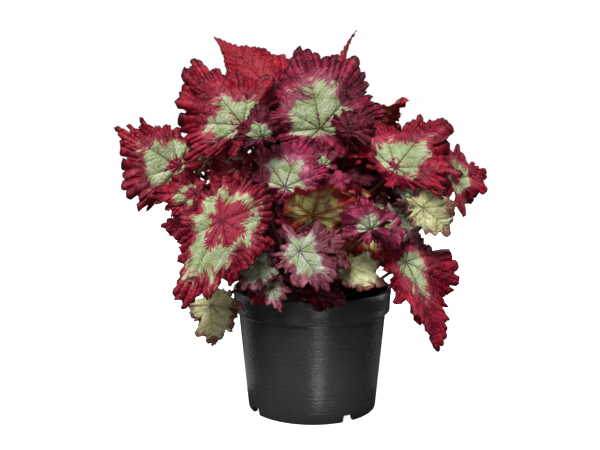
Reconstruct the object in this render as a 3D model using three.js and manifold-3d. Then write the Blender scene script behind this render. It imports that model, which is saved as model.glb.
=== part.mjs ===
// A rex begonia with ruffled leaves in its nursery pot. Millimetres, +Z up, the origin under the pot.
import * as THREE from "three";
import Module from "manifold-3d";
import { mergeVertices } from "three/addons/utils/BufferGeometryUtils.js";

const wasm = await Module();
wasm.setup();

// Pot: a 150 mm nursery pot.
const potHeight = 116;
const rimRadius = 75;
const bandHeight = 22; // deep rim band
const bandStep = 4; // how far the band stands out from the wall
const wall = 2;
const baseRadius = 61;
const footHeight = 6;
const footWidth = 5;
const padRadius = 34; // flat pad in the middle of the base
const floorThickness = 2.5;
const notchWidth = 14;
const notchHeight = 6.5;
const notchAngles = [-149, -58, 31, 122]; // degrees from +X
const potSteps = 36;

// Potting mix and the creeping stem in it.
const soilTop = 101;
const fitGap = 0.35; // between touching pieces
const soilBumps = 1.4;
const stemRadius = 8;
const stemHeight = soilTop + 3; // half sunk
const stemRuns = [
  [[-34, -14], [0, 4], [38, 10]],
  [[-22, 32], [0, 4], [8, -34]],
  [[30, -26], [12, 6], [-4, 36]],
];

// Leaves and stalks.
const bladeThickness = 0.9;
const clearance = 1.4; // kept between two blades while they settle
const settleInward = 50;
const settleOutward = 8;
const settleStep = 2;
const stalkRadius = 2.2;
const stalkSides = 4;
const stalkSteps = 4;
const stalkGap = 0.6; // between a stalk's end and its blade
const stalkNeck = 7; // how far under a blade its stalk arrives
const stalkEndStretch = 2; // the last stretch, square to the blade
const cell = 3; // step of the cells that stalks find their way through
const stalkRoomRadius = 3.3; // kept free around a stalk's middle line
const sinus = 172; // degrees: the blade stops here on both sides of the slit behind its stalk
const lobeAngles = [0, 44, 88, 134]; // degrees: the main veins, each with a lobe at its end
const rings = [
  { reach: 0.4, steps: 9 },
  { reach: 0.74, steps: 18 },
  { reach: 1, steps: 36 },
];
const smallRings = [
  { reach: 0.5, steps: 8 },
  { reach: 1, steps: 24 },
];
const smallLeaf = 45; // mm: leaves under this length take the small rings

// Each leaf: where its blade meets the stalk, where its tip is, which way its upper side looks.
const plainLeaf = {
  wide: 1, // breadth against length
  spike: 0.06, // extra length of the tip
  skew: 0.12, // one side is larger
  tuck: 0.35, // how far the rear lobes are drawn in
  droop: 40, // degrees that the tip bends down
  back: 35, // degrees that the rear lobes bend down
  arch: 40, // degrees that the sides bend down, less than 0 for a cup
  fold: 0, // slope of a fold along the midrib
  wave: 0.11, // height of the ruffles against length
  waves: 5,
  seed: 0,
  slide: [0, 1, 0], // inward: the blade moves this way to clear others
  lift: 4, // and this far up or down
};
const frontLeaves = [
  { name: "front_large", at: [-75, -105, 191], tip: [-108, -118, 124], face: [-0.25, -0.95, 0.2], seed: 1.1,
    tuck: 0, wide: 0.85, arch: 55, back: 20, droop: 25, wave: 0.09 },
  { name: "centre_under", at: [-1, -88, 193], tip: [6, -119, 220], face: [0.05, 0.6, 0.8], seed: 5.3,
    tuck: 0.3, wide: 1.35, arch: 20, droop: 20 },
  { name: "centre_pink", at: [-24, -94, 213], tip: [-6, -70, 247], face: [-0.05, -0.6, 0.8], seed: 4.6,
    tuck: 0.55, wide: 1.4, back: 60 },
  { name: "right_hanging", at: [79, -78, 152], tip: [107, -78, 75], face: [0.35, -0.9, 0.1], seed: 2.2,
    tuck: 0.3, spike: 0.35, wide: 0.85, arch: 30, skew: 0.3 },
  { name: "left_hanging", at: [-90, -60, 110], tip: [-86, -62, 76], face: [-0.5, -0.85, 0.1], seed: 3.5,
    tuck: 0.2, wide: 1.2 },
  { name: "left", at: [-115, -72, 233], tip: [-163, -72, 261], face: [-0.3, -0.8, 0.5], seed: 2.3,
    tuck: 0.5, wide: 1.25, back: 60 },
  { name: "upper_left", at: [-60, -72, 268], tip: [-102, -54, 316], face: [-0.15, -0.75, 0.6], seed: 0.4,
    tuck: 0.5, wide: 1.25, back: 70 },
  { name: "top", at: [6, -66, 265], tip: [-10, -36, 335], face: [0.1, -0.85, 0.5], seed: 3.1,
    tuck: 0.5, wide: 1.35, skew: -0.12, back: 70 },
  { name: "top_back_spire", at: [-30, 8, 283], tip: [-93, 28, 350], face: [0.25, -0.9, 0.35], seed: 5.2,
    tuck: 0.5, spike: 0.3, wide: 0.8 },
  { name: "right", at: [68, -84, 233], tip: [109, -60, 272], face: [0.1, -0.65, 0.75], seed: 1.9,
    tuck: 0.55, wide: 1.35, back: 40 },
  { name: "far_right", at: [124, -45, 221], tip: [156, -28, 222], face: [0.45, -0.8, 0.4], seed: 2.8,
    tuck: 0.4, wide: 1.4, back: 60 },
  { name: "right_back_spike", at: [36, 18, 291], tip: [43, 30, 357], face: [-0.9, -0.45, 0.1], seed: 4.4,
    spike: 0.5, wide: 0.5, fold: 0.6, arch: 0, wave: 0.05 },
  { name: "right_pale", at: [91, -92, 202], tip: [116, -92, 180], face: [0.3, -0.9, -0.2], seed: 3.7,
    wave: 0.09 },
  { name: "centre_silver", at: [-12, -112, 167], tip: [10, -116, 137], face: [-0.1, -0.9, 0.3], seed: 5.0,
    tuck: 0.1, wide: 1.0, back: 60 },
  { name: "low_rolled", at: [-4, -96, 171], tip: [31, -94, 155], face: [0.1, -0.9, 0.5], seed: 4.1,
    wide: 0.8, arch: 60, back: 60 },
  { name: "low_right_pale", at: [31, -84, 148], tip: [64, -82, 134], face: [0.1, -0.7, 0.7], seed: 3.3,
    back: 90 },
  { name: "low_pale_left", at: [-46, -90, 154], tip: [-63, -97, 134], face: [0, -0.9, 0.3], seed: 5.9 },
  { name: "low_rim", at: [-35, -86, 131], tip: [-29, -93, 113], face: [0, -0.9, 0.4], seed: 2.5 },
  { name: "right_ruffled", at: [55, -88, 186], tip: [71, -93, 166], face: [0.1, -0.95, 0.2], seed: 6.1,
    back: 90 },
  { name: "right_small_pink", at: [46, -99, 188], tip: [42, -96, 213], face: [0, -0.9, 0.4], seed: 5.6,
    tuck: 0.5, wide: 1.4, back: 50 },
  { name: "right_small_green", at: [85, -82, 208], tip: [64, -86, 218], face: [0, -0.9, 0.4], seed: 4.9,
    back: 110 },
  { name: "right_folded", at: [42, -68, 190], tip: [73, -70, 137], face: [-0.5, 0.6, 0.2], seed: 1.4,
    wide: 0.6, fold: 0.5 },
  { name: "dark_patch", at: [-43, -94, 259], tip: [-48, -86, 283], face: [0, -0.75, 0.65], seed: 1.3,
    tuck: 0.5, wide: 1.4, back: 50 },
  { name: "back_right_high", at: [52, 2, 263], tip: [88, 16, 291], face: [-0.2, 0.75, 0.6], seed: 0.9 },
  { name: "right_puckered", at: [71, -68, 190], tip: [89, -72, 169], face: [0.2, -0.9, 0.2], seed: 0.2 },
  { name: "centre_ruffle", at: [8, -88, 213], tip: [32, -96, 225], face: [0, -0.8, 0.6], seed: 6.0 },
  { name: "low_folded_left", at: [-44, -84, 141], tip: [-50, -86, 174], face: [0.2, -0.9, 0.1], seed: 0.7 },
  { name: "left_lower", at: [-101, -66, 187], tip: [-130, -72, 182], face: [-0.2, -0.9, 0.3], seed: 0.3,
    back: 90 },
  { name: "left_under", at: [-100, -72, 213], tip: [-135, -78, 212], face: [-0.2, -0.9, 0.3], seed: 1.2,
    back: 90 },
  { name: "left_inner_under", at: [-103, -58, 231], tip: [-102, -64, 265], face: [0.5, 0.6, 0.3], seed: 2.0 },
  { name: "low_orange", at: [-48, -76, 129], tip: [-26, -80, 126], face: [0, -0.8, 0.5], seed: 1.6 },
  { name: "low_dark", at: [2, -78, 124], tip: [28, -84, 120], face: [0, -0.8, 0.5], seed: 0.5 },
];

// Darker leaves inside; one that finds no room isn't grown.
const innerLeaves = [
  { name: "inner_under", at: [-1, -30, 245], tip: [-12, -36, 270], face: [0.2, 0.7, 0.5], seed: 2.9 },
  { name: "centre_small_pale", at: [8, -80, 237], tip: [3, -72, 256], face: [0, -0.8, 0.6], seed: 0.1,
    tuck: 0.5, wide: 1.4, back: 50 },
  { name: "inner_right", at: [28, -56, 240], tip: [31, -46, 260], face: [0, -0.8, 0.6], seed: 4.7,
    tuck: 0.5, back: 50 },
  { name: "inner_centre", at: [-26, -40, 239], tip: [-45, -34, 256], face: [0, -0.8, 0.6], seed: 5.5,
    tuck: 0.5, wide: 1.3, back: 50 },
  { name: "inner_left", at: [-63, -64, 235], tip: [-91, -54, 250], face: [0, -0.8, 0.6], seed: 3.4,
    tuck: 0.5, wide: 1.3, back: 50 },
  { name: "inner_top_right", at: [31, -62, 260], tip: [45, -54, 279], face: [0, -0.7, 0.7], seed: 3.8,
    tuck: 0.5, wide: 1.3, back: 50 },
  { name: "inner_top_left", at: [-37, -14, 283], tip: [-28, -8, 307], face: [0, -0.8, 0.5], seed: 0.8,
    wide: 1.1 },
  { name: "inner_mid_right", at: [43, -44, 214], tip: [60, -36, 233], face: [0, -0.8, 0.6], seed: 2.1,
    wide: 1.2 },
  { name: "inner_low", at: [-19, -52, 174], tip: [-45, -50, 195], face: [0, -0.9, 0.4], seed: 2.6 },
  { name: "inner_low_right", at: [27, -50, 167], tip: [50, -48, 188], face: [0, -0.9, 0.4], seed: 3.0 },
  { name: "inner_far_right", at: [110, -12, 210], tip: [126, -4, 230], face: [0.2, -0.8, 0.4], seed: 1.7 },
  { name: "inner_low_middle", at: [3, -44, 141], tip: [12, -36, 168], face: [0, -0.9, 0.4], seed: 4.2 },
];

// The rest of the dome: tiers of leaves around the back, a turn apart.
const tiers = [
  { count: 6, first: 8, last: 180, radius: 78, height: 160, length: 72, dip: 0.85 },
  { count: 4, first: 16, last: 160, radius: 66, height: 214, length: 70, dip: 0.5 },
  { count: 3, first: 48, last: 132, radius: 52, height: 270, length: 64, dip: 0.15 },
];

const colours = {
  pot: 0x2c2c2d,
  soil: 0x2a1c14,
  stalk: 0x7a3327,
  blade: 0xa81f44,
};

function rad(degrees) {
  return degrees * Math.PI / 180;
}

function vector(list) {
  return new THREE.Vector3(...list);
}

function solidOf(geometry) {
  const bare = geometry.clone();
  bare.deleteAttribute("normal");
  bare.deleteAttribute("uv");
  const merged = mergeVertices(bare, 1e-4);
  const vertProperties = new Float32Array(merged.attributes.position.array);
  const triVerts = new Uint32Array(merged.index.array);
  return new wasm.Manifold(new wasm.Mesh({ numProp: 3, vertProperties, triVerts }));
}

function geometryOf(solid) {
  const mesh = solid.getMesh();
  return meshFrom(Array.from(mesh.vertProperties), Array.from(mesh.triVerts));
}

function meshFrom(positions, index) {
  const geometry = new THREE.BufferGeometry();
  geometry.setAttribute("position", new THREE.Float32BufferAttribute(positions, 3));
  geometry.setIndex(index);
  return geometry;
}

function lathe(profile, steps) {
  const points = profile.map(([r, z]) => new THREE.Vector2(r, z));
  const geometry = new THREE.LatheGeometry(points, steps);
  geometry.rotateX(Math.PI / 2);
  return geometry;
}

// ---- pot ----

function buildPot() {
  const bandFoot = potHeight - bandHeight;
  const wallTop = rimRadius - 1 - bandStep;
  const slope = (wallTop - baseRadius) / bandFoot;
  const floor = footHeight + floorThickness;
  const inner = baseRadius - wall + slope * floor;
  const profile = [
    [0, 0], [padRadius, 0], [padRadius + 2, footHeight],
    [baseRadius - footWidth, footHeight], [baseRadius - footWidth + 1, 0], [baseRadius - 0.8, 0],
    [baseRadius, 0.8], [baseRadius + slope * 46, 46], [wallTop, bandFoot - 1.5],
    [rimRadius - 1.4, bandFoot], [rimRadius - 1, bandFoot + 1],
    [rimRadius - 0.7, potHeight - 7], [rimRadius - 0.2, potHeight - 6], [rimRadius, potHeight - 2],
    [rimRadius - 0.7, potHeight - 0.4], [rimRadius - 1.8, potHeight], [rimRadius - 3, potHeight - 0.9],
    [rimRadius - 3.4, potHeight - 3],
    [rimRadius - 1.4 - wall, bandFoot + 3], [wallTop - wall + 0.4, bandFoot - 1],
    [inner, floor + 1.5], [inner - 2, floor], [0, floor],
  ];
  let pot = solidOf(lathe(profile, potSteps));
  for (const angle of notchAngles) {
    pot = pot.subtract(notchSolid(angle));
  }
  return geometryOf(pot);
}

// A slot through the foot, and a drain hole through the floor behind it.
function notchSolid(angle) {
  const half = notchWidth / 2;
  const shape = new THREE.Shape();
  shape.moveTo(-half, -1);
  shape.lineTo(half, -1);
  shape.lineTo(half - 2, notchHeight);
  shape.lineTo(2 - half, notchHeight);
  const slot = new THREE.ExtrudeGeometry(shape, { depth: footWidth + 4, bevelEnabled: false });
  slot.rotateX(Math.PI / 2);
  slot.rotateZ(Math.PI / 2);
  slot.translate(baseRadius - footWidth - 1, 0, 0);
  slot.rotateZ(rad(angle));
  const hole = new THREE.BoxGeometry(8, notchWidth - 5, 12);
  hole.translate(baseRadius - footWidth - 5, 0, footHeight + 2);
  hole.rotateZ(rad(angle));
  return solidOf(slot).add(solidOf(hole));
}

// ---- potting mix ----

function soilProfile() {
  const bandFoot = potHeight - bandHeight;
  const wallTop = rimRadius - 1 - bandStep;
  const slope = (wallTop - baseRadius) / bandFoot;
  const floor = footHeight + floorThickness + fitGap;
  const foot = baseRadius - wall + slope * floor - 3;
  const lip = rimRadius - 1.4 - wall - fitGap - 0.6;
  return [
    [0, floor], [foot, floor], [foot + 1.6, floor + 3], [wallTop - wall - 0.4 - fitGap, bandFoot - 3],
    [lip, bandFoot + 3.5], [lip, soilTop], [lip - 14, soilTop + 1], [lip - 30, soilTop],
    [lip - 46, soilTop + 1.2], [0, soilTop],
  ];
}

function buildSoil(stem) {
  const geometry = lathe(soilProfile(), potSteps);
  const bare = geometry.clone();
  bare.deleteAttribute("normal");
  bare.deleteAttribute("uv");
  const merged = mergeVertices(bare, 1e-4);
  const position = merged.attributes.position;
  for (let i = 0; i < position.count; i += 1) {
    const [x, y, z] = [position.getX(i), position.getY(i), position.getZ(i)];
    if (z > soilTop - 0.5 && Math.hypot(x, y) < rimRadius - 10) {
      position.setZ(i, z + soilBumps * Math.sin(x * 0.31 + 1) * Math.sin(y * 0.27 + 2));
    }
  }
  return geometryOf(solidOf(merged).subtract(stem));
}

// ---- tubes: stem runs and stalks ----

// A closed tube through the points, round-ended where the radii taper.
function tubeGeometry(points, radii, sides) {
  const positions = [];
  const index = [];
  const tangents = points.map((point, i) => {
    const before = points[Math.max(i - 1, 0)];
    const after = points[Math.min(i + 1, points.length - 1)];
    return after.clone().sub(before).normalize();
  });
  let side = new THREE.Vector3(1, 0, 0);
  if (Math.abs(tangents[0].x) > 0.8) {
    side = new THREE.Vector3(0, 1, 0);
  }
  points.forEach((point, i) => {
    side = side.clone().addScaledVector(tangents[i], -side.dot(tangents[i])).normalize();
    const up = tangents[i].clone().cross(side);
    for (let k = 0; k < sides; k += 1) {
      const angle = 2 * Math.PI * k / sides;
      const rim = point.clone();
      rim.addScaledVector(side, radii[i] * Math.cos(angle));
      rim.addScaledVector(up, radii[i] * Math.sin(angle));
      positions.push(rim.x, rim.y, rim.z);
    }
  });
  for (let i = 0; i + 1 < points.length; i += 1) {
    for (let k = 0; k < sides; k += 1) {
      const a = i * sides + k;
      const b = i * sides + (k + 1) % sides;
      index.push(a, b, b + sides, a, b + sides, a + sides);
    }
  }
  const last = (points.length - 1) * sides;
  for (let k = 1; k + 1 < sides; k += 1) {
    index.push(0, k + 1, k, last, last + k, last + k + 1);
  }
  return meshFrom(positions, index);
}

function stemCurve(run) {
  return new THREE.QuadraticBezierCurve3(...run.map(([x, y]) => new THREE.Vector3(x, y, stemHeight)));
}

// The creeping stem: three runs that cross in the middle, with knobs where old leaves grew.
function stemSolid(extra) {
  let stem = null;
  for (const run of stemRuns) {
    const steps = 8;
    const points = stemCurve(run).getPoints(steps);
    const radii = points.map((point, i) => {
      const taper = Math.sqrt(1 - (2 * i / steps - 1) ** 4 * 0.8);
      return stemRadius * taper * (i % 2 ? 0.86 : 1) + extra;
    });
    const piece = solidOf(tubeGeometry(points, radii, 6));
    stem = stem ? stem.add(piece) : piece;
  }
  return stem;
}

// ---- blades ----

// Distance from stalk to edge, for a blade of length 1: a pointed, broad heart with a lobe at each vein.
function outline(leaf, angle) {
  const turn = Math.abs(angle);
  const heart = 0.64 + 0.36 * Math.exp(-((turn / 0.66) ** 2));
  const point = leaf.spike * Math.exp(-((turn / 0.16) ** 1.3));
  const nearest = Math.min(...lobeAngles.map((vein) => Math.abs(turn - rad(vein))));
  const lobe = 0.86 + 0.14 * Math.exp(-nearest / 0.2);
  const rear = 1 - leaf.tuck / (1 + Math.exp((1.75 - turn) / 0.18));
  return (heart * lobe * rear + point) * (1 + leaf.skew * Math.sin(angle));
}

function bend(along, height, turn) {
  if (Math.abs(turn) < 1e-4) {
    return [along, height];
  }
  const angle = turn * along;
  return [Math.sin(angle) * (1 / turn + height), (Math.cos(angle) - 1) / turn + height * Math.cos(angle)];
}

// A point of the blade in its own frame: x to the tip, z up from the upper side. Length 1.
function bladePoint(leaf, reach, angle) {
  const radius = reach * outline(leaf, angle);
  const x = radius * Math.cos(angle);
  const y = radius * Math.sin(angle) * leaf.wide;
  const broad = Math.sin(leaf.waves * angle + leaf.seed) * reach ** 2.2;
  const narrow = Math.sin((2 * leaf.waves + 1) * angle + 2.3 * leaf.seed) * reach ** 5;
  const crease = leaf.fold * (Math.sqrt(y * y + 0.002) - Math.sqrt(0.002));
  const z = leaf.wave * (broad + 0.5 * narrow) + crease;
  const [across, lift] = bend(y, z, rad(leaf.arch));
  const [along, height] = bend(x, lift, rad(x > 0 ? leaf.droop : leaf.back));
  return new THREE.Vector3(along, across, height);
}

// Carries the blade's own frame to its place: its chord runs from the stalk to the tip.
function bladePlace(leaf) {
  const at = vector(leaf.at);
  const chord = vector(leaf.tip).sub(at);
  const tip = bladePoint(leaf, 1, 0);
  const flatTip = new THREE.Vector3(tip.x, 0, tip.z);
  const size = chord.length() / flatTip.length();
  const along = chord.clone().normalize();
  const across = vector(leaf.face).cross(along).normalize();
  const up = along.clone().cross(across);
  const pitch = Math.atan2(flatTip.z, flatTip.x);
  const own = new THREE.Matrix4().makeRotationY(pitch);
  const world = new THREE.Matrix4().makeBasis(along, across, up).multiply(own);
  world.scale(new THREE.Vector3(size, size, size));
  world.setPosition(at);
  return { world, size };
}

function bladeRings(leaf) {
  return leaf.size < smallLeaf ? smallRings : rings;
}

// The blade's middle surface as points and triangles, and the loop of its edge.
function bladeSheet(leaf, world) {
  const used = bladeRings(leaf);
  const points = [new THREE.Vector3()];
  const starts = [];
  for (const ring of used) {
    starts.push(points.length);
    for (let k = 0; k <= ring.steps; k += 1) {
      const angle = rad(sinus) * (2 * k / ring.steps - 1);
      points.push(bladePoint(leaf, ring.reach, angle));
    }
  }
  points.forEach((point) => point.applyMatrix4(world));
  const faces = [];
  for (let k = 0; k < used[0].steps; k += 1) {
    faces.push([0, starts[0] + k, starts[0] + k + 1]);
  }
  for (let r = 0; r + 1 < used.length; r += 1) {
    const ratio = used[r + 1].steps / used[r].steps;
    for (let k = 0; k < used[r].steps; k += 1) {
      const a = starts[r] + k;
      const outer = starts[r + 1] + k * ratio;
      const middle = Math.floor(ratio / 2);
      for (let j = 0; j < ratio; j += 1) {
        faces.push([j < middle ? a : a + 1, outer + j, outer + j + 1]);
      }
      faces.push([a, outer + middle, a + 1]);
    }
  }
  const edge = [0];
  used.forEach((ring, r) => {
    if (r + 1 < used.length) {
      edge.push(starts[r]);
    }
  });
  const last = used.length - 1;
  for (let k = 0; k <= used[last].steps; k += 1) {
    edge.push(starts[last] + k);
  }
  for (let r = last - 1; r >= 0; r -= 1) {
    edge.push(starts[r] + used[r].steps);
  }
  return { points, faces, edge };
}

function sheetNormals(points, faces) {
  const normals = points.map(() => new THREE.Vector3());
  for (const [a, b, c] of faces) {
    const side = points[b].clone().sub(points[a]);
    const normal = side.cross(points[c].clone().sub(points[a]));
    [a, b, c].forEach((i) => normals[i].add(normal));
  }
  return normals.map((normal) => normal.normalize());
}

// Both faces have the same triangles, so a waved blade never crosses itself.
function bladeGeometry(sheet, thickness) {
  const { points, faces, edge } = sheet;
  const normals = sheetNormals(points, faces);
  const positions = [];
  for (const half of [thickness / 2, -thickness / 2]) {
    points.forEach((point, i) => {
      const moved = point.clone().addScaledVector(normals[i], half);
      positions.push(moved.x, moved.y, moved.z);
    });
  }
  const under = points.length;
  const index = [];
  for (const [a, b, c] of faces) {
    index.push(a, b, c, under + a, under + c, under + b);
  }
  edge.forEach((a, i) => {
    const b = edge[(i + 1) % edge.length];
    index.push(a, under + a, under + b, a, under + b, b);
  });
  return meshFrom(positions, index);
}

function tierLeaves() {
  const leaves = [];
  tiers.forEach((tier, level) => {
    for (let k = 0; k < tier.count; k += 1) {
      const azimuth = tier.first + (tier.last - tier.first) * k / (tier.count - 1);
      const seed = 1.7 * k + 2.9 * level;
      const away = new THREE.Vector3(Math.cos(rad(azimuth)), Math.sin(rad(azimuth)), 0);
      const swing = new THREE.Vector3(-away.y, away.x, 0).multiplyScalar(0.35 * Math.sin(3.1 * seed));
      const at = away.clone().multiplyScalar(tier.radius + 5 * Math.sin(2.2 * seed));
      at.z = tier.height + 9 * Math.sin(4.7 * seed);
      const heading = away.clone().multiplyScalar(0.72).add(swing);
      heading.z = -tier.dip;
      const tip = at.clone().addScaledVector(heading.normalize(), tier.length);
      const face = away.clone().multiplyScalar(0.8);
      face.z = 0.6;
      leaves.push({
        name: `back_${level + 1}_${k + 1}`,
        at: at.toArray(),
        tip: tip.toArray(),
        face: face.toArray(),
        slide: away.clone().negate().toArray(),
        lift: 24,
        wide: 1.1,
        seed,
      });
    }
  });
  return leaves;
}

function boxesMeet(a, b, margin) {
  return a.clone().expandByScalar(margin).intersectsBox(b);
}

function crosses(solid, others) {
  return others.some((other) => (
    boxesMeet(solid.box, other.box, 0.5) && solid.body.intersect(other.body).volume() > 1e-6
  ));
}

function withBox(geometry) {
  geometry.computeBoundingBox();
  return { body: solidOf(geometry), box: geometry.boundingBox.clone() };
}

// The places that a leaf may take, nearest first: along its free direction, and up or down a little.
function nearbyShifts(leaf) {
  const slide = vector(leaf.slide);
  const shifts = [];
  for (let along = -settleOutward; along <= settleInward; along += settleStep) {
    for (let lift = -leaf.lift; lift <= leaf.lift; lift += settleStep) {
      const shift = slide.clone().multiplyScalar(along);
      shift.z += lift;
      shifts.push(shift);
    }
  }
  return shifts.sort((a, b) => a.length() - b.length());
}

// Takes the nearest place where the blade clears those already there.
function settle(leaf, blades) {
  for (const shift of nearbyShifts(leaf)) {
    const at = vector(leaf.at).add(shift);
    const tip = vector(leaf.tip).add(shift);
    const moved = { ...leaf, at: at.toArray(), tip: tip.toArray() };
    const { world, size } = bladePlace(moved);
    moved.size = size;
    const sheet = bladeSheet(moved, world);
    const guard = withBox(bladeGeometry(sheet, bladeThickness + clearance));
    if (!crosses(guard, blades)) {
      return { ...moved, sheet, guard };
    }
  }
  return null;
}

// ---- stalks ----

// The room over the soil as cells, each free or too near a blade or the rim for a stalk.
function stalkRoom(leaves) {
  const low = new THREE.Vector3(-189, -150, soilTop + 2);
  const size = [126, 100, 90];
  const blocked = new Uint8Array(size[0] * size[1] * size[2]);
  const cellOf = (point) => [point.x - low.x, point.y - low.y, point.z - low.z].map((d) => Math.floor(d / cell));
  const inside = ([i, j, k]) => i >= 0 && j >= 0 && k >= 0 && i < size[0] && j < size[1] && k < size[2];
  const index = ([i, j, k]) => (k * size[1] + j) * size[0] + i;
  const centre = (i, j, k) => new THREE.Vector3(i + 0.5, j + 0.5, k + 0.5).multiplyScalar(cell).add(low);
  const near = Math.ceil(stalkRoomRadius / cell);
  const block = (point) => {
    const [ci, cj, ck] = cellOf(point);
    for (let k = ck - near; k <= ck + near; k += 1) {
      for (let j = cj - near; j <= cj + near; j += 1) {
        for (let i = ci - near; i <= ci + near; i += 1) {
          if (inside([i, j, k]) && centre(i, j, k).distanceTo(point) < stalkRoomRadius) {
            blocked[index([i, j, k])] = 1;
          }
        }
      }
    }
  };
  for (const { sheet } of leaves) {
    for (const [a, b, c] of sheet.faces) {
      const [pa, pb, pc] = [a, b, c].map((n) => sheet.points[n]);
      const steps = Math.ceil(Math.max(pa.distanceTo(pb), pa.distanceTo(pc)) / 1.5);
      for (let m = 0; m <= steps; m += 1) {
        const left = pa.clone().lerp(pb, m / steps);
        const right = pa.clone().lerp(pc, m / steps);
        const across = Math.ceil(left.distanceTo(right) / 1.5) + 1;
        for (let n = 0; n <= across; n += 1) {
          block(left.clone().lerp(right, n / across));
        }
      }
    }
  }
  for (let turn = 0; turn < 360; turn += 1.5) {
    for (let z = soilTop + 2; z <= potHeight; z += 2) {
      block(new THREE.Vector3(rimRadius - 2, 0, z).applyAxisAngle(new THREE.Vector3(0, 0, 1), rad(turn)));
    }
  }
  return { size, blocked, cellOf, inside, index, centre };
}

// Spreads from the creeping stem through the free cells: each cell then knows the shortest way back.
function spreadFromStem(room) {
  const { size, blocked, cellOf, inside, index } = room;
  const cost = new Float64Array(blocked.length).fill(Infinity);
  const parent = new Int32Array(blocked.length).fill(-1);
  const buckets = [[]];
  const reach = (id, value, from) => {
    if (value < cost[id] - 1e-9) {
      cost[id] = value;
      parent[id] = from;
      const bucket = Math.floor(value);
      while (buckets.length <= bucket) {
        buckets.push([]);
      }
      buckets[bucket].push(id);
    }
  };
  for (const run of stemRuns) {
    for (const root of stemCurve(run).getPoints(10).slice(1, -1)) {
      reach(index(cellOf(root.setZ(stemHeight + stemRadius - 1))), 0, -1);
    }
  }
  for (let bucket = 0; bucket < buckets.length; bucket += 1) {
    for (let n = 0; n < buckets[bucket].length; n += 1) {
      const id = buckets[bucket][n];
      const i = id % size[0];
      const j = Math.floor(id / size[0]) % size[1];
      const k = Math.floor(id / (size[0] * size[1]));
      for (let turn = 0; turn < 27; turn += 1) {
        const step = [turn % 3 - 1, Math.floor(turn / 3) % 3 - 1, Math.floor(turn / 9) - 1];
        const next = [i + step[0], j + step[1], k + step[2]];
        if (inside(next) && !blocked[index(next)]) {
          reach(index(next), cost[id] + Math.hypot(...step), id);
        }
      }
    }
  }
  return { ...room, cost, parent };
}

// The free cell under the blade, near its stalk's end, that is quickest to reach.
function freeCell(room, end, normal) {
  const point = end.clone().addScaledVector(normal, -stalkNeck);
  const [ci, cj, ck] = room.cellOf(point);
  const steps = Math.ceil(stalkNeck / cell) + 1;
  let best = -1;
  let bestScore = Infinity;
  for (let k = ck - steps; k <= ck + steps; k += 1) {
    for (let j = cj - steps; j <= cj + steps; j += 1) {
      for (let i = ci - steps; i <= ci + steps; i += 1) {
        if (room.inside([i, j, k])) {
          const id = room.index([i, j, k]);
          const centre = room.centre(i, j, k);
          const score = room.cost[id] + 3 * centre.distanceTo(point);
          if (score < bestScore && centre.sub(end).dot(normal) < -0.5 * stalkNeck) {
            best = id;
            bestScore = score;
          }
        }
      }
    }
  }
  return best;
}

function freeLine(room, from, to) {
  const steps = Math.ceil(from.distanceTo(to) / 1.5);
  for (let n = 1; n < steps; n += 1) {
    const cellHere = room.cellOf(from.clone().lerp(to, n / steps));
    if (!room.inside(cellHere) || room.blocked[room.index(cellHere)]) {
      return false;
    }
  }
  return true;
}

// The way from the stem to a blade: the cells' way with its needless corners left out.
function stalkPath(room, leaf) {
  const { points, faces } = leaf.sheet;
  const normal = sheetNormals(points, faces)[0];
  const end = points[0].clone().addScaledVector(normal, -bladeThickness / 2 - stalkGap);
  const neck = end.clone().addScaledVector(normal, -stalkEndStretch);
  let id = freeCell(room, end, normal);
  if (id < 0) {
    return null;
  }
  const way = [];
  while (id >= 0) {
    const i = id % room.size[0];
    const j = Math.floor(id / room.size[0]) % room.size[1];
    way.push(room.centre(i, j, Math.floor(id / (room.size[0] * room.size[1]))));
    id = room.parent[id];
  }
  const corners = [way[0]];
  let from = 0;
  while (from < way.length - 1) {
    let to = way.length - 1;
    while (to > from + 1 && !freeLine(room, way[from], way[to])) {
      to -= 1;
    }
    corners.push(way[to]);
    from = to;
  }
  const root = corners[corners.length - 1].clone();
  root.z = stemHeight;
  return [root, ...corners.reverse(), neck, end];
}

function stalkSolid(path, smooth) {
  let points = path;
  if (smooth) {
    const curve = new THREE.CatmullRomCurve3(path.slice(0, -1), false, "centripetal");
    points = [...curve.getSpacedPoints(stalkSteps - 1), path[path.length - 1]];
  }
  const last = points.length - 1;
  const radii = points.map((point, i) => stalkRadius * (1.15 - 0.35 * i / last));
  return withBox(tubeGeometry(points, radii, stalkSides));
}

function growStalk(room, leaf, obstacles) {
  const path = stalkPath(room, leaf);
  if (!path) {
    return null;
  }
  for (const smooth of [true, false]) {
    const stalk = stalkSolid(path, smooth);
    if (!crosses(stalk, obstacles)) {
      return stalk;
    }
  }
  return null;
}

// ---- assembly ----

const plant = new THREE.Group();

function addPiece(name, geometry, colour, roughness) {
  const material = new THREE.MeshStandardMaterial({ color: colour, roughness, metalness: 0 });
  const mesh = new THREE.Mesh(geometry, material);
  mesh.name = name;
  plant.add(mesh);
}

const potGeometry = buildPot();
addPiece("pot", potGeometry, colours.pot, 0.35);
addPiece("soil", buildSoil(stemSolid(fitGap)), colours.soil, 0.95);

const blades = [withBox(potGeometry.clone())];
const settled = [];
for (const row of [...frontLeaves, ...tierLeaves(), ...innerLeaves]) {
  const leaf = settle({ ...plainLeaf, ...row }, blades);
  if (leaf) {
    blades.push(leaf.guard);
    settled.push(leaf);
  }
}

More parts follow.
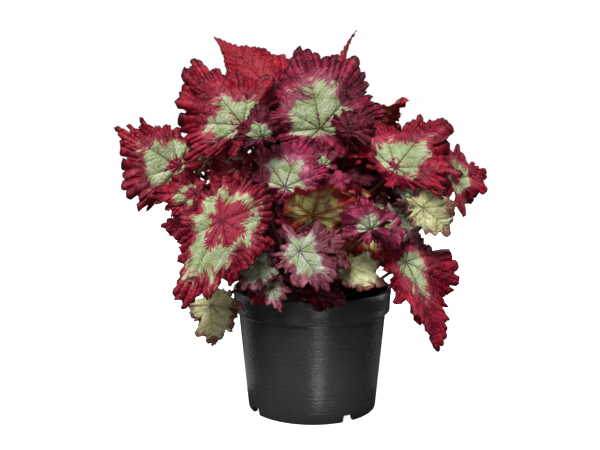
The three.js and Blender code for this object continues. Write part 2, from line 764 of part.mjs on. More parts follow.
const room = spreadFromStem(stalkRoom(settled));
const skins = settled.map((leaf) => withBox(bladeGeometry(leaf.sheet, bladeThickness + 2 * fitGap)));
let crown = stemSolid(0);
settled.forEach((leaf, n) => {
  const own = withBox(bladeGeometry(leaf.sheet, bladeThickness));
  const others = skins.filter((skin, m) => m !== n);
  const stalk = growStalk(room, leaf, [own, blades[0], ...others]);
  if (stalk) {
    crown = crown.add(stalk.body);
    addPiece(`leaf_${leaf.name}`, bladeGeometry(leaf.sheet, bladeThickness), colours.blade, 0.55);
  }
});
// A pocket that the stalks close among them is filled: only the outer shell stays.
const shells = crown.decompose().sort((a, b) => b.volume() - a.volume());
addPiece("crown", geometryOf(shells[0]), colours.stalk, 0.6);

export default plant;
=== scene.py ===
import math
import random

import bpy
import numpy as np
from mathutils import Matrix, Vector


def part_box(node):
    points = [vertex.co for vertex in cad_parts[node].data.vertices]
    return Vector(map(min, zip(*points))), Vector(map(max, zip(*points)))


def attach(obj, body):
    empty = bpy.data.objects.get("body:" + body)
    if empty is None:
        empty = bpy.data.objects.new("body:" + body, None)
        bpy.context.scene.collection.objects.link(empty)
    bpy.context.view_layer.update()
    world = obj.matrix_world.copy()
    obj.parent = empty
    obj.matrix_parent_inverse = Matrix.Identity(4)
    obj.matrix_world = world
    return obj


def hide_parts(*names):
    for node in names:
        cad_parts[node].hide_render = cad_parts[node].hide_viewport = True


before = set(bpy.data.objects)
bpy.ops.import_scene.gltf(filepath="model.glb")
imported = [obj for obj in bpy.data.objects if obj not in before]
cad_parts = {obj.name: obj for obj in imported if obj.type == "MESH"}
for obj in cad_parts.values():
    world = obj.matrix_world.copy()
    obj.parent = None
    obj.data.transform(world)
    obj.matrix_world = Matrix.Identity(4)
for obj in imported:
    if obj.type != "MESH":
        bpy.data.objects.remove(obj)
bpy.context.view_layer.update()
mm = 0.001
print("frame loaded")


def hexColour(text):  # sRGB hex to the linear colour that Blender works in
    parts = [int(text[i:i + 2], 16) / 255 for i in (1, 3, 5)]
    return [p / 12.92 if p <= 0.04045 else ((p + 0.055) / 1.055) ** 2.4 for p in parts] + [1]


def addNode(tree, kind, settings, inputs, output=0):  # inputs: numbers, hex colours or other nodes' sockets
    node = tree.nodes.new("ShaderNode" + kind)
    for key, value in settings.items():
        setattr(node, key, value)
    for key, value in inputs.items():
        if isinstance(value, bpy.types.NodeSocket):
            tree.links.new(value, node.inputs[key])
        else:
            node.inputs[key].default_value = hexColour(value) if isinstance(value, str) else value
    return node.outputs[output] if node.outputs else node


def newMaterial(name):
    material = bpy.data.materials.new(name)
    material.use_nodes = True
    material.node_tree.nodes.clear()
    return material, material.node_tree


def finishMaterial(tree, inputs):
    shader = addNode(tree, "BsdfPrincipled", {}, inputs)
    addNode(tree, "OutputMaterial", {}, {"Surface": shader})


# Settings that many nodes share. In a Mix node, 0 is the share and 6 and 7 are the colours, and 2 comes out.
smoothStep = {"interpolation_type": "SMOOTHSTEP"}
rgba = {"data_type": "RGBA"}
add = {"operation": "ADD"}
multiply = {"operation": "MULTIPLY"}
multiplyAdd = {"operation": "MULTIPLY_ADD"}
larger = {"operation": "MAXIMUM"}


def meshObject(name, vertices, faces, materials):
    mesh = bpy.data.meshes.new(name)
    mesh.from_pydata([tuple(v) for v in vertices], [], faces)
    for material in materials:
        mesh.materials.append(material)
    piece = bpy.data.objects.new(name, mesh)
    bpy.context.collection.objects.link(piece)
    return piece


def selectOnly(piece):
    bpy.ops.object.select_all(action="DESELECT")
    piece.select_set(True)
    bpy.context.view_layer.objects.active = piece


# Camera: a 50 mm lens, 0.78 m in front of the pot, a little above the leaves' middle

cameraSettings = {"place": (-0.0115, -0.780, 0.275), "down": 7.4, "lens": 50}
bpy.ops.object.camera_add(
    location=cameraSettings["place"], rotation=(math.radians(90 - cameraSettings["down"]), 0, 0)
)
camera = bpy.context.object
camera.data.lens = cameraSettings["lens"]
camera.data.sensor_width = 36
bpy.context.scene.camera = camera


# Leaf blades: the same form as the solids, with finer waves, teeth and puckers

noBand = (-2, -1)  # the band ends before the heart, so that all of the leaf is red
plainSpike = 0.06

# A leaf has its heart at "at" and its point at "tip", in mm, and its upper side looks along "face". The pale
# band's start and end are shares of the leaf. The point is drawn out by "spike", the rear lobes are shorter
# by "tuck", and the front, rear and sides bend down by "droop", "back" and "arch" degrees. "rearRed" paints
# shade behind the stalk: there the band is narrower and the red darker, where the leaf's base lies in shade.
def leafRow(name, at, tip, face, seed, look, band=noBand, **shape):
    plain = {"wide": 1, "spike": plainSpike, "skew": 0.12, "tuck": 0.35, "droop": 40, "back": 35, "arch": 40,
             "fold": 0, "wave": 0.11, "waves": 5, "rearRed": 0 if look in ("pale", "silver") else 0.45}
    given = {"name": name, "at": at, "tip": tip, "face": face, "seed": seed, "look": look, "band": band}
    return {**plain, **given, **shape}


leafRows = [
    leafRow("front_large", (-75, -105, 191), (-108, -118, 124), (-0.25, -0.95, 0.2), 1.1, "crimson",
            (0.4, 0.68), rearRed=0, tuck=0, wide=0.85, arch=55, back=20, droop=25, wave=0.09),
    leafRow("centre_under", (-1, -88, 193), (6, -119, 220), (0.05, 0.6, 0.8), 5.3, "crimson",
            (0.3, 0.6), under="lime", tuck=0.3, wide=1.35, arch=20, droop=20),
    leafRow("centre_pink", (-24, -94, 213), (-6, -70, 247), (-0.05, -0.6, 0.8), 4.6, "orchid",
            (-1, 0.55), tuck=0.55, wide=1.4, back=60),
    leafRow("right_hanging", (79, -78, 152), (107, -78, 75), (0.35, -0.9, 0.1), 2.2, "crimson",
            (-1, 0.42), tuck=0.3, spike=0.35, wide=0.85, arch=30, skew=0.3),
    leafRow("left_hanging", (-90, -60, 110), (-86, -62, 76), (-0.5, -0.85, 0.1), 3.5, "pale",
            (-1, 0.85), tuck=0.2, wide=1.2),
    leafRow("left", (-115, -72, 233), (-163, -72, 261), (-0.3, -0.8, 0.5), 2.3, "crimson",
            (0.12, 0.62), tuck=0.5, wide=1.25, back=60),
    leafRow("upper_left", (-60, -72, 268), (-102, -54, 316), (-0.15, -0.75, 0.6), 0.4, "crimson",
            (0.1, 0.47), tuck=0.5, wide=1.25, back=70),
    leafRow("top", (6, -66, 265), (-10, -36, 335), (0.1, -0.85, 0.5), 3.1, "magenta",
            (0.05, 0.52), tuck=0.5, wide=1.35, skew=-0.12, back=70),
    leafRow("top_back_spire", (-30, 8, 283), (-93, 28, 350), (0.25, -0.9, 0.35), 5.2, "red",
            tuck=0.5, spike=0.3, wide=0.8),
    leafRow("right", (68, -84, 233), (109, -60, 272), (0.1, -0.65, 0.75), 1.9, "crimson",
            (0.02, 0.5), tuck=0.55, wide=1.35, back=40),
    leafRow("far_right", (124, -45, 221), (156, -28, 222), (0.45, -0.8, 0.4), 2.8, "crimson",
            (0.1, 0.55), tuck=0.4, wide=1.4, back=60),
    leafRow("right_back_spike", (36, 18, 291), (43, 30, 357), (-0.9, -0.45, 0.1), 4.4, "red",
            under="rose", spike=0.5, wide=0.5, fold=0.6, arch=0, wave=0.05),
    leafRow("right_pale", (91, -92, 202), (116, -92, 180), (0.3, -0.9, -0.2), 3.7, "pale",
            (-1, 0.85), wave=0.09),
    leafRow("centre_silver", (-12, -112, 167), (10, -116, 137), (-0.1, -0.9, 0.3), 5.0, "silver",
            (-1, 0.62), tuck=0.1, wide=1.0, back=60),
    leafRow("low_rolled", (-4, -96, 171), (31, -94, 155), (0.1, -0.9, 0.5), 4.1, "silver",
            (-1, 0.45), wide=0.8, arch=60, back=60),
    leafRow("low_right_pale", (31, -84, 148), (64, -82, 134), (0.1, -0.7, 0.7), 3.3, "pale",
            (-1, 0.8), back=90),
    leafRow("low_pale_left", (-46, -90, 154), (-63, -97, 134), (0, -0.9, 0.3), 5.9, "silver", (-1, 0.8)),
    leafRow("low_rim", (-35, -86, 131), (-29, -93, 113), (0, -0.9, 0.4), 2.5, "silver", (-1, 0.65)),
    leafRow("right_ruffled", (55, -88, 186), (71, -93, 166), (0.1, -0.95, 0.2), 6.1, "orchid",
            (0.1, 0.6), back=90),
    leafRow("right_small_pink", (46, -99, 188), (42, -96, 213), (0, -0.9, 0.4), 5.6, "orchid",
            (-1, 0.55), tuck=0.5, wide=1.4, back=50),
    leafRow("right_small_green", (85, -82, 208), (64, -86, 218), (0, -0.9, 0.4), 4.9, "silver",
            (-1, 0.75), back=110),
    leafRow("right_folded", (42, -68, 190), (73, -70, 137), (-0.5, 0.6, 0.2), 1.4, "crimson",
            (0.3, 0.6), under="lime", wide=0.6, fold=0.5),
    leafRow("dark_patch", (-43, -94, 259), (-48, -86, 283), (0, -0.75, 0.65), 1.3, "dark",
            (-1, 0.5), tuck=0.5, wide=1.4, back=50),
    leafRow("back_right_high", (52, 2, 263), (88, 16, 291), (-0.2, 0.75, 0.6), 0.9, "crimson",
            (0.3, 0.6), under="orange"),
    leafRow("right_puckered", (71, -68, 190), (89, -72, 169), (0.2, -0.9, 0.2), 0.2, "silver", (-1, 0.85)),
    leafRow("centre_ruffle", (8, -88, 213), (32, -96, 225), (0, -0.8, 0.6), 6.0, "orchid"),
    leafRow("low_folded_left", (-44, -84, 141), (-50, -86, 174), (0.2, -0.9, 0.1), 0.7, "silver", (-1, 0.75)),
    leafRow("left_lower", (-101, -66, 187), (-130, -72, 182), (-0.2, -0.9, 0.3), 0.3, "crimson",
            back=90),
    leafRow("left_under", (-100, -72, 213), (-135, -78, 212), (-0.2, -0.9, 0.3), 1.2, "crimson",
            (0.3, 0.5), back=90),
    leafRow("left_inner_under", (-103, -58, 231), (-102, -64, 265), (0.5, 0.6, 0.3), 2.0, "crimson",
            (0.3, 0.6), under="lime"),
    leafRow("low_orange", (-48, -76, 129), (-26, -80, 126), (0, -0.8, 0.5), 1.6, "red", (0.2, 0.4)),
    leafRow("low_dark", (2, -78, 124), (28, -84, 120), (0, -0.8, 0.5), 0.5, "dark"),
    leafRow("inner_under", (-1, -30, 245), (-12, -36, 270), (0.2, 0.7, 0.5), 2.9, "crimson",
            (0.3, 0.6), under="lime"),
    leafRow("centre_small_pale", (8, -80, 237), (3, -72, 256), (0, -0.8, 0.6), 0.1, "magenta",
            (-1, 0.6), tuck=0.5, wide=1.4, back=50),
    leafRow("inner_right", (28, -56, 240), (31, -46, 260), (0, -0.8, 0.6), 4.7, "magenta",
            tuck=0.5, back=50),
    # the dark look on the inner leaves is partly painted shade, for the dome's shaded inside
    leafRow("inner_centre", (-26, -40, 239), (-45, -34, 256), (0, -0.8, 0.6), 5.5, "dark",
            tuck=0.5, wide=1.3, back=50),
    leafRow("inner_left", (-63, -64, 235), (-91, -54, 250), (0, -0.8, 0.6), 3.4, "crimson",
            (0.2, 0.4), tuck=0.5, wide=1.3, back=50),
    leafRow("inner_top_right", (31, -62, 260), (45, -54, 279), (0, -0.7, 0.7), 3.8, "dark",
            tuck=0.5, wide=1.3, back=50),
    leafRow("inner_top_left", (-37, -14, 283), (-28, -8, 307), (0, -0.8, 0.5), 0.8, "dark", wide=1.1),
    leafRow("inner_mid_right", (43, -44, 214), (60, -36, 233), (0, -0.8, 0.6), 2.1, "dark", wide=1.2),
    leafRow("inner_low", (-19, -52, 174), (-45, -50, 195), (0, -0.9, 0.4), 2.6, "dark"),
    leafRow("inner_low_right", (27, -50, 167), (50, -48, 188), (0, -0.9, 0.4), 3.0, "dark"),
    leafRow("inner_far_right", (110, -12, 210), (126, -4, 230), (0.2, -0.8, 0.4), 1.7, "crimson"),
    leafRow("inner_low_middle", (3, -44, 141), (12, -36, 168), (0, -0.9, 0.4), 4.2, "dark"),
]

tiers = [  # the back of the dome: count, first and last azimuth, ring radius, height, length, dip
    (6, 8, 180, 78, 160, 72, 0.85),
    (4, 16, 160, 66, 214, 70, 0.5),
    (3, 48, 132, 52, 270, 64, 0.15),
]
for level, (count, first, last, radius, height, length, dip) in enumerate(tiers):
    for k in range(count):
        azimuth = math.radians(first + (last - first) * k / (count - 1))
        seed = 1.7 * k + 2.9 * level
        away = Vector((math.cos(azimuth), math.sin(azimuth), 0))
        heading = away * 0.72 + Vector((-away.y, away.x, 0)) * 0.35 * math.sin(3.1 * seed)
        heading.z = -dip
        at = away * (radius + 5 * math.sin(2.2 * seed))
        at.z = height + 9 * math.sin(4.7 * seed)
        tip = at + heading.normalized() * length
        look = ("crimson", "magenta", "crimson", "red")[(k + level) % 4]
        leafRows.append(leafRow(
            f"back_{level + 1}_{k + 1}", tuple(at), tuple(tip), (away.x * 0.8, away.y * 0.8, 0.6), seed, look,
            (0.3 + 0.08 * math.sin(5 * seed), 0.6 + 0.06 * math.sin(3 * seed)), wide=1.1,
        ))

veinAngles = np.radians([-134, -88, -44, 0, 44, 88, 134])
smallLeaf = 45  # mm from the heart to the point
sinusEdge = {"solid": 172, "shown": 184}  # degrees from the point to the gap between the rear lobes
bladeThickness = {"solid": 0.9, "shown": 0.5}  # mm
bladeGrid = {"large": {"rows": 24, "column": 0.9}, "small": {"rows": 18, "column": 0.9},
             "fill": {"rows": 11, "column": 1.4}}  # column: mm at the edge
outlineSamples = 2000
ribSpacing = 8  # mm between side veins
bandWindow = 29  # columns over which the outline is smoothed for the band
sets = {"outline": 0.62, "swell": 0.57, "curl": 0.68}  # where the edge's forms set in, as shares of the leaf

# Ruffles, in mm: the lobes' spacing, depth, height, slant and sideways bulge, then the frills and the teeth
ruffles = {
    "large": {"wave": 14.5, "lobe": 9.5, "stand": 6.5, "slant": 3.5, "sway": 3.4, "frill": 4.6,
              "frillHeight": 2.6, "tooth": 3.4, "toothDepth": 2.5, "point": 3.5},
    "small": {"wave": 10.5, "lobe": 6.6, "stand": 4.6, "slant": 2.4, "sway": 2.4, "frill": 4.0,
              "frillHeight": 1.5, "tooth": 2.8, "toothDepth": 1.9, "point": 2.0},
}
spacings = ("wave", "frill", "tooth")
calmLeaves = {  # these have a share of the others' ruffles
    "top_back_spire": 0.25, "right_back_spike": 0.1, "centre_under": 0.3, "low_right_pale": 0.6,
    "right_pale": 0.6, "left_hanging": 0.9, "centre_ruffle": 0.1, "centre_pink": 0.6,
}

# Puckers, in mm: how far the skin stands up between side veins at the heart and how much more at the edge,
# how far beside a main vein, how wide that vein's furrow is, and how far the skin is lowered in return
puckers = {"heart": 0.5, "more": 1.5, "beside": 1.3, "furrow": 2.0, "lowered": 1.6}


def bladeOutline(leaf, angle):
    turn = np.abs(angle)
    heart = 0.64 + 0.36 * np.exp(-(turn / 0.66) ** 2)
    point = leaf["spike"] * np.exp(-(turn / 0.16) ** 1.3)
    nearest = np.min([np.abs(turn - abs(vein)) for vein in veinAngles[3:]], axis=0)
    lobe = 0.86 + 0.14 * np.exp(-nearest / 0.2)
    rear = 1 - leaf["tuck"] / (1 + np.exp((1.75 - turn) / 0.18))
    return (heart * lobe * rear + point) * (1 + leaf["skew"] * np.sin(angle))


def bendSheet(along, height, turn):
    if np.all(np.abs(turn) < 1e-4):
        return along, height
    angle = turn * along
    return np.sin(angle) * (1 / turn + height), (np.cos(angle) - 1) / turn + height * np.cos(angle)


def bladeForm(leaf, reach, angle, radius, extra=0):
    x = radius * np.cos(angle)
    y = radius * np.sin(angle) * leaf["wide"]
    broad = np.sin(leaf["waves"] * angle + leaf["seed"]) * reach ** 2.2
    narrow = np.sin((2 * leaf["waves"] + 1) * angle + 2.3 * leaf["seed"]) * reach ** 5
    crease = leaf["fold"] * (np.sqrt(y * y + 0.002) - math.sqrt(0.002))
    z = leaf["wave"] * (broad + 0.5 * narrow) + crease + extra
    across, lift = bendSheet(y, z, math.radians(leaf["arch"]) + 1e-5)
    turn = np.where(x > 0, math.radians(leaf["droop"]), math.radians(leaf["back"])) + 1e-5
    along, height = bendSheet(x, lift, turn)
    return np.stack([along, across, height], -1)


def bladePlace(leaf):
    at = Vector(leaf["at"])
    chord = Vector(leaf["tip"]) - at
    zero = np.zeros(1)
    tip = bladeForm(leaf, zero + 1, zero, bladeOutline(leaf, zero))[0]
    size = chord.length / math.hypot(tip[0], tip[2])
    along = chord.normalized()
    across = Vector(leaf["face"]).cross(along).normalized()
    up = along.cross(across)
    basis = Matrix((along, across, up)).transposed().to_4x4()
    pitch = Matrix.Rotation(math.atan2(tip[2], tip[0]), 4, "Y")
    return Matrix.Translation(at) @ basis @ pitch @ Matrix.Scale(size, 4), size


def movePoints(matrix, points):
    turned = points @ np.array(matrix.to_3x3()).T
    return turned + np.array(matrix.translation)


def vertexNormals(points, faces):
    a, b, c = (points[faces[:, i]] for i in range(3))
    normals = np.zeros_like(points)
    each = np.cross(b - a, c - a)
    for i in range(3):
        np.add.at(normals, faces[:, i], each)
    return normals / (np.linalg.norm(normals, axis=1)[:, None] + 1e-12)


def solidShift(leaf, matrix, size):  # how far the solid settled from its row's place, read from its box
    if size < smallLeaf:
        used = ((0.5, 8), (1, 24))
    else:
        used = ((0.4, 9), (0.74, 18), (1, 36))
    points = [np.zeros((1, 3))]
    starts = []
    for reach, steps in used:
        angle = math.radians(sinusEdge["solid"]) * (2 * np.arange(steps + 1) / steps - 1)
        starts.append(sum(len(p) for p in points))
        reaches = np.full(steps + 1, float(reach))
        points.append(bladeForm(leaf, reaches, angle, reach * bladeOutline(leaf, angle)))
    points = movePoints(matrix, np.concatenate(points))
    faces = [(0, starts[0] + k, starts[0] + k + 1) for k in range(used[0][1])]
    for r in range(len(used) - 1):
        ratio = used[r + 1][1] // used[r][1]
        for k in range(used[r][1]):
            a = starts[r] + k
            outer = starts[r + 1] + k * ratio
            for j in range(ratio):
                faces.append((a if j < ratio // 2 else a + 1, outer + j, outer + j + 1))
            faces.append((a, outer + ratio // 2, a + 1))
    normals = vertexNormals(points, np.array(faces)) * bladeThickness["solid"] / 2
    both = np.concatenate([points + normals, points - normals])
    low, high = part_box("leaf_" + leaf["name"])
    centre = np.array((low + high) / 2) / mm
    return centre - (both.min(0) + both.max(0)) / 2


def evenColumns(leaf, size, column):  # angles whose places on the edge are evenly spaced, and those places
    edge = math.radians(sinusEdge["shown"])
    angle = np.linspace(-edge, edge, outlineSamples)
    rim = bladeOutline(leaf, angle)
    steps = np.hypot(np.diff(rim * np.cos(angle)), np.diff(rim * np.sin(angle) * leaf["wide"])) * size
    arc = np.concatenate([[0], np.cumsum(steps)])
    even = np.linspace(0, arc[-1], int(arc[-1] / column))
    return np.interp(even, arc, angle), even


def sheetFaces(rows, count):  # a fan around the heart, rows of quads around it, and the border's points
    fan = [(0, 1 + k, 2 + k) for k in range(count - 1)]
    quads = []
    for r in range(rows - 1):
        for k in range(count - 1):
            a = 1 + r * count + k
            quads.append((a, a + count, a + count + 1, a + 1))
    lastRow = 1 + (rows - 1) * count
    border = [0] + list(range(1, lastRow, count)) + list(range(lastRow, lastRow + count))
    border += list(range(lastRow - 1, 0, -count))
    return fan, quads, border


def bladeMesh(name, points, half, rows, looks):  # both sides of the sheet, and a strip that closes its border
    fan, quads, border = sheetFaces(rows, (len(points) - 1) // rows)
    triangles = fan + [(a, b, c) for a, b, c, d in quads] + [(a, c, d) for a, b, c, d in quads]
    normals = vertexNormals(points, np.array(triangles))
    both = np.concatenate([points + normals * half, points - normals * half]) * mm
    total = len(points)
    upper = fan + quads
    under = [tuple(total + i for i in reversed(face)) for face in upper]
    strip = [(a, total + a, total + b, b) for a, b in zip(border, border[1:] + border[:1])]
    piece = meshObject(name, both, upper + under + strip, looks)
    sides = [0] * len(upper) + [1] * len(under) + [0] * len(strip)
    piece.data.polygons.foreach_set("material_index", sides)
    piece.data.polygons.foreach_set("use_smooth", [True] * len(sides))
    return piece


def storePlaces(piece, places, middles):  # what the materials read at each point, alike on both sides
    total = len(piece.data.vertices) // 2
    for name, parts in places.items():
        values = np.zeros((total * 2, 3), dtype=np.float32)
        values[1:total] = np.stack(parts, -1).reshape(-1, 3)
        values[0] = middles[name]
        values[total:] = values[:total]
        piece.data.attributes.new(name, "FLOAT_VECTOR", "POINT").data.foreach_set("vector", values.ravel())
    piece.data.update()


def setIn(reach, start):  # 0 up to the start, then rising to 1 at the edge
    return np.clip((reach - start) / (1 - start), 0, 1)


def shownBlade(leaf, looks):
    matrix, size = bladePlace(leaf)
    isSolid = "leaf_" + leaf["name"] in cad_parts
    shift = solidShift(leaf, matrix, size) if isSolid else np.zeros(3)
    length = "large" if size >= smallLeaf else "small"
    grid = bladeGrid[length if isSolid else "fill"]
    calm = calmLeaves.get(leaf["name"], 1)
    ruffle = {key: value * (1 if key in spacings else calm) for key, value in ruffles[length].items()}
    angle, arc = evenColumns(leaf, size, grid["column"])
    reach = np.linspace(0, 1, grid["rows"] + 1)[1:] ** 0.6  # rows lie closer together towards the edge
    rng = random.Random(leaf["name"])
    phase = [rng.uniform(0, 6.28) for _ in range(12)]
    chance = np.random.default_rng(rng.randrange(10 ** 6))

    # lobes, teeth and frills along the edge
    waveArc = arc + 5 * np.sin(arc / 15 + phase[0]) + 1.8 * np.sin(arc / 6.3 + phase[1])
    turnA = np.pi * waveArc / ruffle["wave"] + phase[5]  # half a turn for each lobe
    turnB = 2 * np.pi * waveArc / ruffle["frill"] + phase[6] + 1.8 * np.sin(arc / 7 + phase[7])
    lobeIndex = np.floor(turnA / np.pi).astype(int)
    lobeIndex -= lobeIndex.min()
    lobes = lobeIndex.max() + 1
    within = turnA / np.pi - np.floor(turnA / np.pi)
    within = within * within * (3 - 2 * within)
    depths, stands, slants, notches = (chance.uniform(low, 1, lobes + 1) for low in (0.3, -0.5, -1, -1))
    lobeShape = np.abs(np.sin(turnA)) ** chance.uniform(0.5, 1.7, lobes)[lobeIndex]
    teeth = np.abs(np.sin(np.pi * waveArc / ruffle["tooth"] + phase[3])) * ruffle["toothDepth"]
    veinEnd = np.exp(-((np.min([np.abs(angle - vein) for vein in veinAngles], axis=0) / 0.05) ** 2))
    tail = 1 - 0.85 * min(1, leaf["spike"] / 0.3) * np.exp(-(angle / 0.24) ** 2)  # a long tip stays plain
    inner = bladeOutline(leaf, angle)
    deep = 1.35 * ruffle["lobe"] * depths[lobeIndex] * (lobeShape - 0.72)
    rim = inner + (deep + teeth + ruffle["point"] * veinEnd) * tail / size

    # the sheet between the heart and the edge
    reachGrid, angleGrid = np.meshgrid(reach, angle, indexing="ij")
    blend = setIn(reachGrid, sets["outline"]) ** 1.2
    radius = reachGrid * (inner * (1 - blend) + rim * blend)
    offset = np.min([np.abs(angleGrid - vein) for vein in veinAngles], axis=0)
    s = radius * np.cos(offset) * size  # mm along the nearest main vein
    t = radius * np.sin(offset) * size  # mm away from it
    swell = setIn(reachGrid, sets["swell"] + 0.12 * np.sin(arc / 9.5 + phase[9])) ** 1.25 * tail
    curl = setIn(reachGrid, sets["curl"]) ** 1.1
    fold = 0.7 * (notches[lobeIndex] * (1 - within) + notches[lobeIndex + 1] * within)
    lift = swell * ruffle["stand"] * (1.3 * stands[lobeIndex] * lobeShape + fold - 0.2)
    frill = ruffle["frillHeight"] * curl * np.sin(turnB)
    pinch = 0.75 * np.sin(arc / 17 + phase[10]) + 0.3  # above 0 the lobes bulge, below 0 they are pointed
    sway = ruffle["sway"] * pinch * swell * np.sin(2 * turnA)
    sway = sway + ruffle["slant"] * slants[lobeIndex] * swell * lobeShape
    sway = sway + 0.6 * ruffle["frillHeight"] * curl * np.cos(turnB)
    overlap = 1.6 * np.sign(angleGrid) * (np.abs(angleGrid) / angle[-1]) ** 9  # a rear lobe lies on the other
    pillow = np.abs(np.sin(np.pi * (s - 0.9 * t) / ribSpacing)) ** 0.7
    quilt = (puckers["heart"] + puckers["more"] * reachGrid) * pillow - puckers["lowered"]
    quilt = quilt + puckers["beside"] * (1 - np.exp(-t / puckers["furrow"]))
    extra = (lift + frill + overlap + quilt * np.minimum(1, reachGrid * 3)) / size
    swayed = angleGrid - sway / (size * np.maximum(radius, 0.25))
    points = bladeForm(leaf, reachGrid.ravel(), swayed.ravel(), radius.ravel(), extra.ravel())
    points = np.concatenate([bladeForm(leaf, np.zeros(1), np.zeros(1), np.zeros(1)), points])
    points = movePoints(matrix, points) + shift
    half = np.concatenate([[1], (1 - 0.5 * reachGrid ** 4).ravel()])[:, None] * bladeThickness["shown"] / 2
    piece = bladeMesh("blade_" + leaf["name"], points, half, grid["rows"], looks)

    # where the band and the folds lie, for the materials, with painted shade in the folds' troughs
    outline = np.pad(bladeOutline({**leaf, "spike": plainSpike}, angle), bandWindow // 2, "edge")
    outline = np.convolve(outline, np.full(bandWindow, 1 / bandWindow), "valid")
    bandReach = reachGrid * inner / outline  # the band takes no part in the lobes
    ripple = 0.3 * np.sin(angleGrid + phase[8]) + 0.14 * np.sin(5 * angleGrid + phase[9])
    alongVein = np.exp(-((t / 3.5) ** 2))
    bandIn = leaf["band"][0] * (1 + ripple) + 0.07 * alongVein
    # painted shade behind the stalk: the band narrows and the red darkens there
    rear = leaf["rearRed"] / (1 + np.exp((1.9 - np.abs(angleGrid)) / 0.15))
    unevenness = 0.05 * np.sin(3 * angleGrid + phase[10]) + 0.03 * np.sin(7 * angleGrid + phase[11])
    bandOut = (leaf["band"][1] + unevenness - 0.04 * alongVein) * (1 - rear)
    # painted shade and painted highlight: high in the troughs of lobes and frills and behind the stalk, low
    # on the crests
    trough = 0.45 - 0.35 * lift / ruffle["stand"] - 0.3 * frill / ruffle["frillHeight"] + 0.6 * rear
    zero = np.zeros_like(s)
    sheetSeed, bandSeed = leaf["seed"] * 31, leaf["seed"] * 7
    x, y = radius * np.cos(angleGrid) * size, radius * np.sin(angleGrid) * size
    storePlaces(piece, {
        "foldPlace": (trough * swell, zero, zero),
        "veinPlace": (s, t, reachGrid),
        "bandPlace": (bandReach - bandIn, bandReach - bandOut, zero + bandSeed),
        "sheetPlace": (x, y, zero + sheetSeed),
    }, {
        "foldPlace": (0, 0, 0), "veinPlace": (0, 0, 0), "sheetPlace": (0, 0, sheetSeed),
        "bandPlace": (-leaf["band"][0], -leaf["band"][1], bandSeed),
    })
    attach(piece, "root")
    if isSolid:
        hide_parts("leaf_" + leaf["name"])


# Upper side of a rex begonia leaf: a puckered, waxy skin. Air under the skin makes the silvery band;
# red pigment fills the rest, feathered along the veins, and the veins and the edge are nearly black red.
# Painted shade darkens the folds' troughs and the red behind the stalk, and a painted highlight lights the
# crests.
upperLooks = {
    "crimson": {"outer": "#C81A3C", "deep": "#3C040F", "flush": "#EA7088", "heart": "#A82A42",
                "band": "#CAD8AC", "vein": "#36081E", "edge": "#3E0616"},
    "magenta": {"outer": "#B81C4A", "deep": "#330414", "flush": "#E686A2", "heart": "#8E1E42",
                "band": "#C6D4AC", "vein": "#340A20", "edge": "#38061A"},
    "orchid": {"outer": "#C62F5E", "deep": "#46081F", "flush": "#F09CBA", "heart": "#9C2450",
               "band": "#CCD8B6", "vein": "#3A0A24", "edge": "#4A0A22"},
    "red": {"outer": "#D02440", "deep": "#760A1C", "flush": "#F09AA4", "heart": "#AA182C",
            "band": "#DC9A94", "vein": "#7E1424", "edge": "#4E0A18"},
    # the dark look: a darker red leaf, and painted shade for the leaves deep inside the dome
    "dark": {"outer": "#7A0C2A", "deep": "#24040E", "flush": "#C04C70", "heart": "#3A081A",
             "band": "#AEBC98", "vein": "#1E040C", "edge": "#22040C"},
    "silver": {"outer": "#B05468", "deep": "#4E1A26", "flush": "#D8AAB4", "heart": "#98A684",
               "band": "#C8D2BA", "vein": "#3E242C", "edge": "#54202F"},
    "pale": {"outer": "#A8746A", "deep": "#6A3A2A", "flush": "#D6C0A0", "heart": "#C6C886",
             "band": "#EAE8B4", "vein": "#6A6438", "edge": "#7A3434", "mottle": "#AEAC6C"},
}
underLooks = {
    "lime": {"flesh": "#F4F6A0", "middle": "#B8662E", "margin": "#9A1C24", "vein": "#7E2018"},
    "pale": {"flesh": "#A9B273", "middle": "#9C7458", "margin": "#8A4048", "vein": "#7E4434"},
    "orange": {"flesh": "#F0A050", "middle": "#DA5A26", "margin": "#C0282C", "vein": "#8A2418"},
    "rose": {"flesh": "#E05A68", "middle": "#CC3A4E", "margin": "#C82A48", "vein": "#8E1C30"},
}


